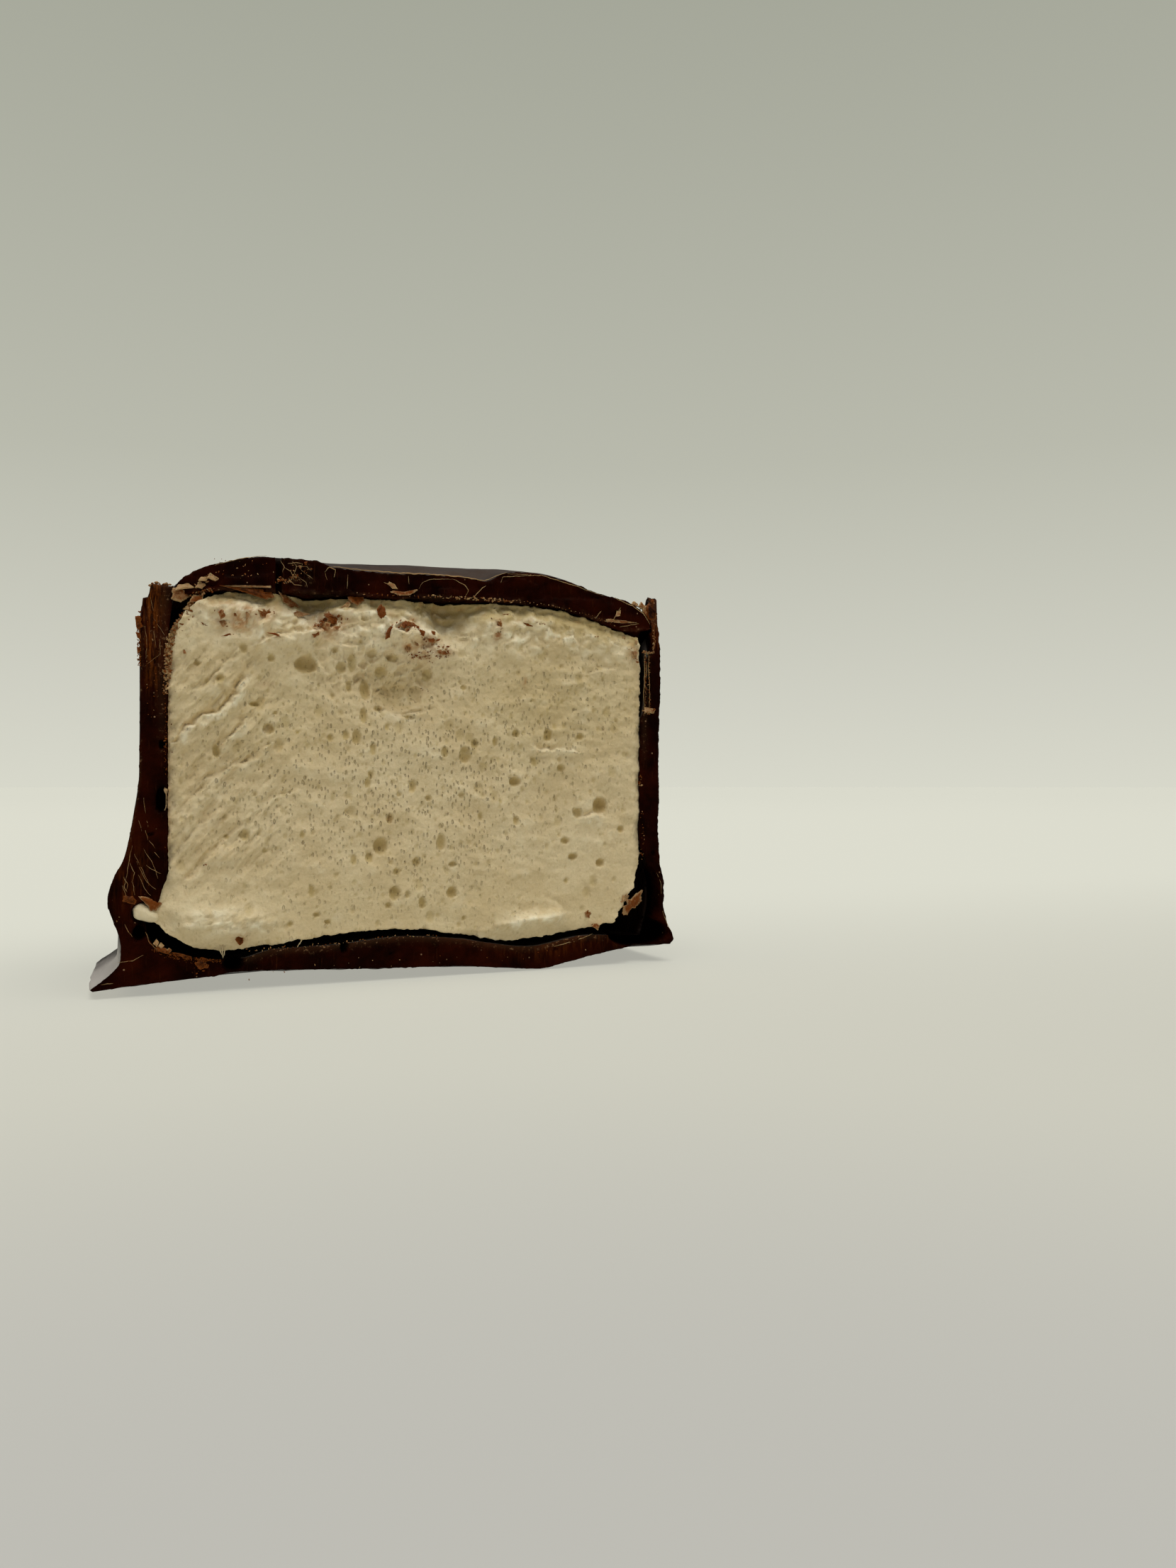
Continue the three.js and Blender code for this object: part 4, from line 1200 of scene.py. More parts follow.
class CutFoam:
    """The torn, bubbly and sheared cut foam at some points of its face.

    depth is behind the face's main form, pits says how far a point is down a bubble, and painted_highlight
    how far it is painted white as highlight where it stands proud.
    """

    def __init__(self, x, z):
        self.x, self.z = x, z
        self.flat = np.stack([x, 0 * x, z], -1)
        self.wobble_x = 0.28 * self.rough(1.1, 3, 301)
        self.wobble_z = 0.28 * self.rough(1.1, 3, 331)
        self.wx, self.wz = x + self.wobble_x, z + self.wobble_z
        self.calm = 1 - 0.6 * fade(5, 11, z) * ease(3, 8, x)
        self.depth = 0.12 * self.rough(3.4, 3, 201) + 0.04 * self.calm * self.rough(0.75, 4, 206, 0.6)
        self.pits = np.zeros(x.shape)
        self.painted_highlight = np.zeros(x.shape)
        self.slanting_folds()
        for path, height, reach in SHEARS:
            self.sheared_step(path, height, reach)
        self.honeycomb()
        for size, share, deep, seed in SCATTERED_PITS:
            self.scattered_pits(size, share, deep, seed)
        for bubble in BUBBLES:
            self.bubble(*bubble)
        for dish in DISHES:
            self.dish(*dish)
        for lump in LUMPS:
            self.lump(*lump)
        self.puffs()
        for smear in SMEARS:
            self.smear(*smear)
        edges = np.minimum.reduce([x + 0.3, 38.2 - x, z - 2.4, 29.4 - z])
        self.depth += 0.12 * fade(0, 2.2, edges) * self.rough(1.2, 4, 271, 0.6)

    def rough(self, size, octaves, seed, fall=0.5):
        return rough(self.flat, size, octaves, seed, fall)

    def add_painted_highlight(self, amount):
        self.painted_highlight = np.maximum(self.painted_highlight, amount)

    def slanting_folds(self):
        x, z = self.x, self.z
        slant = math.radians(50)
        along = x * math.cos(slant) + z * math.sin(slant)
        up = -x * math.sin(slant) + z * math.cos(slant)
        across = np.stack([along, 0 * x, up], -1)
        left = fade(6, 11, x) * window(6, 10, 24, 26, z)
        self.depth += 0.3 * left * rough(across, (3.2, 1, 0.75), 4, 211, 0.6)
        self.depth += 0.035 * self.calm * rough(across, (0.5, 1, 0.34), 3, 221)
        self.depth += 0.22 * mound(x - 31, z - 22.5, 8, 5) * self.rough((1.5, 1, 1.1), 4, 226, 0.6)

    def sheared_step(self, path, height, reach):
        """The foam above the path stands height proud, with a crease below, a torn crest and a painted
        highlight just below the step.
        """
        beside = beside_path(self.wx, self.wz, path)
        (ax, az), (bx, bz) = path[0], path[-1]
        half = math.hypot(bx - ax, bz - az) / 2
        away = np.hypot(self.x - (ax + bx) / 2, self.z - (az + bz) / 2)
        near = fade(0.75 * half, 1.25 * half + 0.3, away)
        step = np.exp(-np.clip(beside, 0, None) / reach) * ease(-0.06, 0.14, beside)
        crease = ridge(beside + 0.1, 0.16)
        strong = min(1, (max(height, 0) / 0.3) ** 2)
        # Painted highlight on the face just below the step.
        self.add_painted_highlight(0.75 * near * strong * ridge(beside - 0.3, 0.35))
        self.depth += near * mix(1.3, 2.4, strong) * (0.5 * abs(height) * crease - height * step)

    def honeycomb(self):
        """Torn open cells in the bowl and under the lid."""
        torn = mound(self.wx - 15.8, self.wz - 23.9, 4.2, 2.5) ** 0.7
        torn = np.maximum(torn, 0.8 * mound(self.wx - 17, self.wz - 27.2, 5, 1.2))
        bent = np.stack([self.wx, self.wz], -1)
        first, second, owner = cells(bent, (1.05, 0.95), 241)
        self.depth += torn * (0.46 * ease(0.02, 0.5, second - first) * (0.3 + owner) - 0.16)
        first, second, owner = cells(bent, (0.48, 0.5), 251)
        self.depth += torn * 0.07 * ease(0.05, 0.45, second - first) * (0.3 + owner)

    def scattered_pits(self, size, share, deep, seed):
        nearest, _, owner = cells(np.stack([self.x, self.z], -1), (size, 1.35 * size), seed)
        inside = np.clip(1 - (nearest / 0.3) ** 2, 0, 1) * (owner < share * pored(self.x, self.z))
        self.depth += deep * np.sqrt(inside)
        self.pits = np.maximum(self.pits, 0.5 * inside**0.5)

    def bubble(self, cx, cz, rx, rz):
        """A round bottom with a low lip round it."""
        off_x = (self.x - cx + 0.15 * self.wobble_x) / rx
        off_z = (self.z - cz + 0.15 * self.wobble_z) / rz
        inside = np.clip(1 - off_x**2 - off_z**2, 0, 1)
        lip = mound(self.x - cx, self.z - cz, rx * 1.4, rz * 1.4)
        self.depth += 1.05 * rx * np.sqrt(inside) - 0.05 * lip
        self.pits = np.maximum(self.pits, inside**0.35)

    def dish(self, cx, cz, rx, rz, deep):
        inside = np.clip(1 - ((self.wx - cx) / rx) ** 2 - ((self.wz - cz) / rz) ** 2, 0, 1)
        self.depth += deep * np.sqrt(inside)
        self.pits = np.maximum(self.pits, 0.5 * deep * inside**0.4)

    def lump(self, cx, cz, rx, rz, high):
        puff = mound(self.wx - cx, self.wz - cz, rx, rz)
        self.depth -= 1.5 * high * puff
        # The lump is painted white as highlight.
        self.add_painted_highlight(min(1, 2.6 * high) * puff)

    def puffs(self):
        """Puffs under the lid and low swellings all over, with painted highlight on the puffs, the
        swellings and the foam where the lid was lifted.
        """
        x, z = self.x, self.z
        rough_top = ease(24.6, 27.2, z)
        bent = np.stack([self.wx, 0 * x, self.wz], -1)
        puffs = np.abs(rough(bent, (1.7, 1, 1.2), 3, 261, 0.5))
        self.depth -= rough_top * 0.42 * puffs
        self.add_painted_highlight(0.75 * rough_top * ease(0.12, 0.5, puffs))
        swollen = self.rough((2.6, 1, 1.9), 3, 265, 0.5)
        self.depth -= 0.2 * self.calm * swollen
        self.add_painted_highlight(0.25 * ease(0.2, 0.8, swollen))
        lifted = mound(x - 15, z - 27.4, 9, 2.6) + 0.8 * mound(x - 4.5, z - 27.5, 3.5, 2)
        lifted = lifted + mound(x - 35.5, z - 27, 3, 1.6)
        self.add_painted_highlight(0.45 * np.clip(lifted, 0, 1))

    def smear(self, cx, cz, rx, rz):
        zone = mound(self.wx - cx, self.wz - cz, rx, rz)
        folds = self.rough((1.7, 1, 0.75), 4, 267, 0.6)
        self.depth -= zone * (0.05 + 0.32 * np.abs(folds))
        # The folds are painted white as highlight.
        self.add_painted_highlight(0.75 * zone * ease(-0.3, 0.4, folds))


# The finger of foam squeezed out at the lower left: where its tip is, and the bead's middle there.
FINGER_TIP = (-2.15, 5.95)
BEAD_MIDDLE = (-1.68, 0.35, 5.95)
BEAD_RADII = (0.62, 0.6, 0.62)
FINGER_ROOT = -0.75

# Places where cocoa has stained the foam, as x, z, half width, half height and strength.
COCOA_STAINS = [
    (5.2, 27.3, 0.9, 0.9, 0.75), (5.6, 28, 0.45, 0.35, 0.9), (4.9, 26.9, 0.5, 0.5, 0.8),
    (6.8, 27.7, 0.8, 0.5, 0.6), (20.4, 25.6, 0.9, 0.4, 0.7), (19.4, 26.5, 0.6, 0.4, 0.7),
    (11.6, 27.3, 1.3, 0.9, 0.8), (19, 25.8, 1.6, 0.9, 0.5), (17.8, 25.9, 0.4, 0.35, 0.95),
    (18.2, 28, 0.28, 0.28, 0.9), (17.6, 27.5, 0.8, 0.4, 0.25), (5.1, 3.8, 0.6, 0.5, 0.3),
    (25.2, 28.1, 0.3, 0.4, 0.6), (25.1, 27.1, 0.3, 0.35, 0.8), (7, 22.6, 0.7, 0.25, 0.2),
    (7.1, 19.3, 0.3, 0.3, 0.22), (33.9, 3.4, 0.6, 0.4, 0.5), (1.4, 19.6, 0.2, 0.2, 0.4),
    (16.3, 12.5, 0.2, 0.35, 0.35), (27.5, 23.4, 0.14, 0.5, 0.6), (12, 27.6, 0.9, 0.7, 0.5),
    (4.2, 28.5, 1.2, 0.5, 0.35), (7.6, 28.3, 0.9, 0.4, 0.3), (2.2, 28.2, 0.8, 0.6, 0.25),
    (3.8, 27.3, 0.5, 0.8, 0.5), (37.3, 26.4, 0.5, 0.8, 0.55), (20.9, 29, 0.9, 0.7, 0.25),
    (10.5, 28.6, 1.4, 0.5, 0.15),
]


def squeezed_out(points):
    """The lower left edge has been pressed out into a small round finger."""
    x, y, z = points.T
    tip_x, tip_z = FINGER_TIP
    near = ridge(z - tip_z - 0.25 * (x + 1), 0.62) * fade(-0.4, 1.6, x) * fade(1.2, 2.2, y)
    round_end = np.sqrt(np.clip(1 - ((z - tip_z) / 0.75) ** 2, 0, 1))
    points[:, 0] += 0.6 * (tip_x - FINGER_ROOT) * near * round_end
    points[:, 1] += 0.15 * near


def squeezed_foam_piece(foam):
    """A small round lump at the finger's tip, drawn out and down to the right."""
    down, around = np.meshgrid(np.linspace(0, math.pi, 33), np.linspace(0, 2 * math.pi, 49), indexing="ij")
    ball = [np.sin(down) * np.cos(around), np.sin(down) * np.sin(around), np.cos(down)]
    points = np.stack(ball, -1) * np.array(BEAD_RADII)
    uneven = 1 + 0.13 * rough(points + np.array(BEAD_MIDDLE), 0.7, 3, 381)
    skin = Skin()
    skin.grid(points * uneven[..., None] + np.array(BEAD_MIDDLE), flipped=True)
    made = skin.object("squeezed_foam")
    points = corners_of(made)
    points[:, 0] += 0.8 * np.clip(points[:, 0] - BEAD_MIDDLE[0], 0, None)
    points[:, 2] -= 0.38 * np.clip(points[:, 0] - BEAD_MIDDLE[0], 0, None) - 0.08
    place_corners(made, points)
    # A light, even painted highlight over the whole bead.
    stain(made, "painted_highlight", np.full(len(points), 0.3))
    finish_piece(made, [foam])


# Painted shade that makes recesses and wide stretches yellower and darker, as x, z, half width, half
# height and strength.
SHADED_FOAM = [
    (21.2, 28.9, 2, 1.3, 1.2), (10.4, 28.9, 2, 0.9, 1), (30, 22, 8, 5, 0.42), (6, 21, 6, 5, 0.28),
    (20, 5, 20, 4, 0.15),
]

# Threads of foam drawn across the gap above the base, as paths over the cut.
FOAM_STRANDS = [
    [(3.72, 3.45), (3.68, 2.95), (3.88, 2.4)], [(3.9, 3.4), (3.82, 2.9), (3.92, 2.45)],
    [(4.02, 3.3), (4, 2.9), (3.96, 2.6)], [(9.7, 3.65), (9.5, 3.3), (9.25, 2.85)],
    [(9.55, 3.5), (9.45, 3.1)],
]


def foam_strands_piece(foam):
    loose = Loose()
    for path in FOAM_STRANDS:
        loose.thread(path, 0.12, 0.04, 1.0)
    finish_piece(loose.object("foam_strands"), [foam])


def round_the_face(grid):
    """The outermost points of a grid, once round, without the first again."""
    return np.concatenate([grid[0, :-1], grid[:-1, -1], grid[-1, :0:-1], grid[:0:-1, 0]])


def foam_front(u, v):
    """The cut face with its ragged, partly stuck edges."""
    x, z = core_place(u, v)
    sides = 1 - window(0, 0.03, 0.97, 1, u)
    ends = 1 - window(0, 0.04, 0.96, 1, v)
    flat = np.stack([x, 0 * x, z], -1)
    x = x + 0.16 * sides * rough(flat, (0.7, 1, 0.8), 4, 281, 0.6)
    z = z + 0.14 * ends * rough(flat, (0.9, 1, 0.8), 4, 291, 0.6)
    torn_corner = mound(x - 36.4, z - 4.6, 2.2, 3.4)
    x = x + 0.35 * torn_corner * sides * rough(flat, (1.1, 1, 1.1), 4, 293, 0.6)
    stuck = window(6, 8, 24, 26, z) * (1 - ridge(z - 14.1, 0.95)) * (1 - ridge(z - 18.05, 0.4))
    x = x - 0.16 * fade(0, 0.02, u) * stuck
    y = face_depth(x, z) + CutFoam(x, z).depth
    return np.stack([x, np.maximum(y, mix(FOREMOST, y, 0.2)), z], -1)


def foam_rings(u, v, edge):
    """Rings from the edge of the cut face back along the sides and round onto the back."""
    loop_x, loop_z = core_place(round_the_face(u), round_the_face(v))
    back = curve(CAVITY_BACK, loop_z) - GAP
    whole_back = curve(CAVITY_BACK, 0.0) - GAP
    steps = [(depth, 0) for depth in BACK_DEPTHS]
    for degrees in (0, 22.5, 45, 67.5, 90):
        turn = math.radians(degrees)
        depth = whole_back - CORE_CORNER * (1 - math.sin(turn))
        steps.append((depth, CORE_CORNER * (1 - math.cos(turn))))
    rings = [edge]
    for depth, inset in steps:
        x = mix(loop_x, FOAM_MIDDLE[0], inset / FOAM_MIDDLE[0])
        y = np.maximum(depth * back / whole_back, edge[:, 1] + 0.15 * depth)
        rings.append(np.stack([x, y, mix(loop_z, FOAM_MIDDLE[1], inset / FOAM_MIDDLE[1])], -1))
    pole = [FOAM_MIDDLE[0], whole_back, FOAM_MIDDLE[1]]
    return np.array([np.vstack([ring, ring[:1]]) for ring in rings]), pole


def lid_shadow_on_foam(points):
    """Painted shadow of the lid: the foam just under it is painted yellower and darker, with a ragged
    lower edge.
    """
    x, _, z = points.T
    reach = mix(1.5, 2.6, window(22, 26, 34, 37, x))
    below = curve(CORE_TOP, x) - z + 0.6 * rough(points, (1.6, 1, 0.8), 3, 355)
    return fade(0.2, 1, below / reach) * ease(1.5, 4, x)


def foam_painted_shade(points, pits, lid_shadow):
    """Painted shade: the foam is painted yellower and darker in bubbles, recesses, under the lid and over
    wide stretches.
    """
    x, y, z = points.T
    painted_hollow_shade = ease(0.5, 1.8, y) * 0.25 * mound(x - 17, z - 23, 4, 2.5) + 0.9 * pits + 0.85 * lid_shadow
    for cx, cz, rx, rz, strength in SHADED_FOAM:
        painted_hollow_shade += strength * mound(x - cx, z - cz, rx, rz)
    return painted_hollow_shade


def foam_cocoa(points):
    """Where cocoa has stained the foam: blots, the edge under the lid and the left edge."""
    x, _, z = points.T
    cocoa = np.zeros(len(x))
    for cx, cz, rx, rz, strength in COCOA_STAINS:
        cocoa = np.maximum(cocoa, strength * mound(x - cx, z - cz, rx, rz))
    blot = ease(-0.3, 0.12, rough(points, 0.42, 4, 351, 0.65))
    under_lid = ease(27.2, 29.2, z) * ease(0.2, 0.7, rough(points, 0.9, 3, 361))
    left_edge = 0.5 * fade(0.0, 0.35, x) * ease(9, 12, z)
    return np.maximum(cocoa * (0.2 + 0.8 * blot), 0.3 * under_lid) + left_edge


def marshmallow_piece(foam):
    u, v = np.meshgrid(np.linspace(0, 1, FACE_COLUMNS + 1), np.linspace(0, 1, FACE_ROWS + 1))
    front = foam_front(u, v)
    rings, pole = foam_rings(u, v, round_the_face(front))
    skin = Skin()
    skin.grid(front)
    skin.grid(rings, flipped=True)
    skin.fan(rings[-1], pole, True)
    made = skin.object("foam")
    points = corners_of(made)
    squeezed_out(points)
    place_corners(made, points)
    x, y, z = points.T
    on_face = fade(2.0, 3.2, y)
    cut = CutFoam(x, z)
    # Painted shadow of the lid on the foam just under it.
    lid_shadow = lid_shadow_on_foam(points)
    patchy = ease(-0.6, 0.5, rough(points, 0.8, 3, 371))
    # Painted shade in the bubbles, recesses and under the lid.
    stain(made, "painted_hollow_shade", foam_painted_shade(points, cut.pits, lid_shadow) * on_face)
    # Painted highlight where the foam stands proud, less of it in the lid's painted shadow.
    stain(made, "painted_highlight", cut.painted_highlight * on_face * patchy * (1 - 0.8 * lid_shadow))
    stain(made, "pores", pored(x, z) * on_face)
    stain(made, "cocoa", foam_cocoa(points) * on_face)
    finish_piece(made, [foam], "marshmallow")


# ---- shavings and crumbs ---------------------------------------------------------------------

SHAVING_STEP = 0.065
SHAVING_RINGS = (0.4, 0.72, 1)
THREAD_STEP = 0.12
# Chocolate on the foam is thinner, so its shade is this much paler.
PALER_ON_FOAM = 0.25
# Shavings as outline, how far in front of what is behind them, thickness, lean towards the
# right and upwards, bend, and shade from dark red brown (0) over orange brown to tan (1).
SHAVINGS_ON_FOAM = [
    ([(1.5, 28.35), (1.75, 28.85), (2.5, 29), (2.45, 28.45)], 0.1, 0.16, (0.2, 0.3), 0.05, 0.35),
    ([(3.45, 27.75), (3.75, 28), (4.1, 27.85), (4, 27.4), (3.65, 27.2)],
     0.06, 0.1, (0.3, 0.2), 0.06, 0.42),
    ([(3.6, 27.1), (3.95, 27.25), (4.15, 26.95), (3.85, 26.65)], 0.05, 0.1, (-0.2, 0.3), 0.05, 0.5),
    ([(4.6, 27.9), (4.85, 27.95), (4.8, 27.45), (4.6, 27.5)], 0.03, 0.06, (0.1, 0.1), 0.02, 0.45),
    ([(6.3, 28.1), (6.6, 27.85), (6.75, 28.25), (7, 27.95), (7.2, 28.25), (7.4, 27.6), (6.6, 27.5)],
     0.08, 0.12, (0.3, 0.1), 0.05, 0.38),
    ([(5.4, 28.1), (5.75, 28.2), (5.7, 27.5), (5.5, 27.3)], 0.03, 0.05, (0.2, 0.1), 0.03, 0.62),
    ([(1.05, 25.05), (1.3, 25), (1.3, 24.6), (1.1, 24.6)], 0.04, 0.08, (0.3, 0.2), 0.03, 0.45),
    ([(2.35, 26.95), (2.75, 26.85), (2.8, 26.7), (2.5, 26.75)], 0.02, 0.05, (0, 0.2), 0, 0.12),
    ([(3.7, 26), (4.3, 26.25), (4.7, 26.2), (4.2, 26.05)], 0.02, 0.05, (0, 0.2), 0, 0.25),
    ([(6.9, 26.4), (7.5, 26.42), (8.2, 26.15), (8.3, 25.98), (7.6, 26.2)],
     0.06, 0.07, (0.1, 0.4), 0.03, 0.22),
    ([(8, 29.65), (8.5, 29.5), (9.7, 28.75), (9.5, 28.15), (8.9, 28.5), (8.3, 29)],
     0.3, 0.16, (0.5, 0.1), 0.1, 0.4),
    ([(8.4, 28.05), (9.3, 28.35), (10.3, 28.1), (9.5, 27.8)], 0.12, 0.1, (0.1, 0.5), 0.05, 0.55),
    ([(11.3, 28.15), (11.8, 28.35), (12.5, 28.15), (12.75, 27.5), (12.1, 27.25), (11.5, 27.5)],
     0.14, 0.16, (0.3, 0.4), 0.1, 0.25),
    ([(11.1, 27.55), (11.7, 27.4), (11.5, 26.75), (10.8, 26.85)], 0.1, 0.12, (-0.4, 0.2), 0.06, 0.45),
    ([(12, 27.2), (12.6, 27.3), (12.4, 26.9), (11.9, 26.85)], 0.05, 0.08, (0.4, 0.3), 0.04, 0.5),
    ([(10.2, 26.45), (10.75, 26.75), (10.8, 26.4), (10.35, 26.15)], 0.06, 0.08, (0.2, 0.1), 0.03, 0.4),
    ([(13.1, 29.2), (13.2, 30.1), (14.2, 30.05), (14.45, 29.4), (13.9, 28.95)],
     0.35, 0.5, (0.3, 0.3), 0.06, 0.22),
    ([(12.5, 28.65), (13.2, 29.3), (13.3, 28.9), (12.8, 28.45)], 0.15, 0.12, (-0.2, 0.4), 0.03, 0.55),
    ([(15.25, 28.7), (15.6, 29.1), (15.95, 28.8), (15.95, 28.2), (15.6, 27.9), (15.3, 28.2)],
     0.04, 0.12, (0.1, 0.2), 0.08, 0.16),
    ([(15.75, 26.3), (15.9, 26.9), (16.3, 27.45), (16.7, 27.55), (16.5, 27.2), (16.15, 26.8),
      (16.2, 26.5)], 0.1, 0.14, (0.3, 0.2), 0.08, 0.15),
    ([(16.9, 27.5), (17.5, 27.9), (18.2, 27.8), (18.7, 27.4), (18.2, 27.35), (17.6, 27.5),
      (17.2, 27.2)], 0.1, 0.14, (0.2, 0.5), 0.08, 0.2),
    ([(17.3, 27.2), (17.7, 27.35), (18, 27.1), (17.5, 26.95)], 0.05, 0.08, (0.1, 0.3), 0.04, 0.5),
    ([(18.4, 27.2), (18.95, 27.1), (18.8, 26.65), (18.5, 26.8)], 0.08, 0.12, (0.5, 0.2), 0.05, 0.2),
    ([(19.1, 26.7), (19.6, 26.85), (20, 26.4), (19.6, 26.15), (19.25, 26.3)],
     0.06, 0.12, (0.2, 0.4), 0.05, 0.35),
    ([(19.9, 25.75), (20.5, 25.8), (21.2, 25.5), (20.7, 25.35), (20.1, 25.4)],
     0.05, 0.1, (0.3, 0.3), 0.04, 0.4),
    ([(19.55, 27.2), (19.9, 27.15), (19.8, 26.85), (19.6, 26.9)], 0.04, 0.08, (0.1, 0.3), 0.03, 0.3),
    ([(17.6, 26.1), (18.1, 26), (17.9, 25.5), (17.6, 25.6)], 0.03, 0.08, (0.1, 0.3), 0.03, 0.5),
    ([(18.2, 26.3), (18.6, 26.25), (18.5, 25.95), (18.25, 26)], 0.03, 0.08, (0.1, 0.3), 0.03, 0.55),
    ([(24.95, 28.4), (25.3, 28.5), (25.45, 28.1), (25.3, 27.7), (25.15, 28)],
     0.05, 0.07, (0.2, 0.2), 0.04, 0.4),
    ([(24.8, 27.4), (25.1, 27.5), (25.4, 27.3), (25.2, 27), (24.9, 26.95)],
     0.04, 0.06, (0.2, 0.2), 0.03, 0.6),
    ([(25.5, 28.9), (26.2, 29), (26.1, 28.8)], 0.03, 0.05, (0, 0.2), 0, 0.35),
    ([(27.3, 28.3), (28.2, 28.2), (28.1, 28), (27.5, 28.05)], 0.04, 0.07, (0, 0.3), 0.02, 0.3),
    ([(37.05, 26.6), (37.45, 26.85), (37.75, 26.4), (37.6, 25.9), (37.2, 25.8)],
     0.05, 0.12, (0.3, 0.2), 0.05, 0.55),
    ([(37.4, 27.4), (37.75, 27.35), (37.7, 27), (37.45, 27)], 0.04, 0.1, (0.3, 0.2), 0.03, 0.55),
    ([(36.3, 27.75), (36.7, 27.75), (36.7, 27.45), (36.35, 27.45)], 0.03, 0.1, (0.3, 0.2), 0.03, 0.75),
    ([(4.7, 3.75), (4.95, 4.15), (5.3, 3.95), (5.3, 3.5), (5, 3.35)], 0.12, 0.2, (0.2, 0.2), 0.08, 0.1),
    ([(33.4, 3.35), (33.8, 3.7), (34.25, 3.4), (33.9, 3)], 0.08, 0.12, (0.2, 0.4), 0.05, 0.4),
    ([(32.8, 4.5), (33.1, 4.75), (33.45, 4.45), (33.2, 4.05), (32.85, 4.15)],
     0.03, 0.1, (0.1, 0.1), 0.03, 0.35),
]
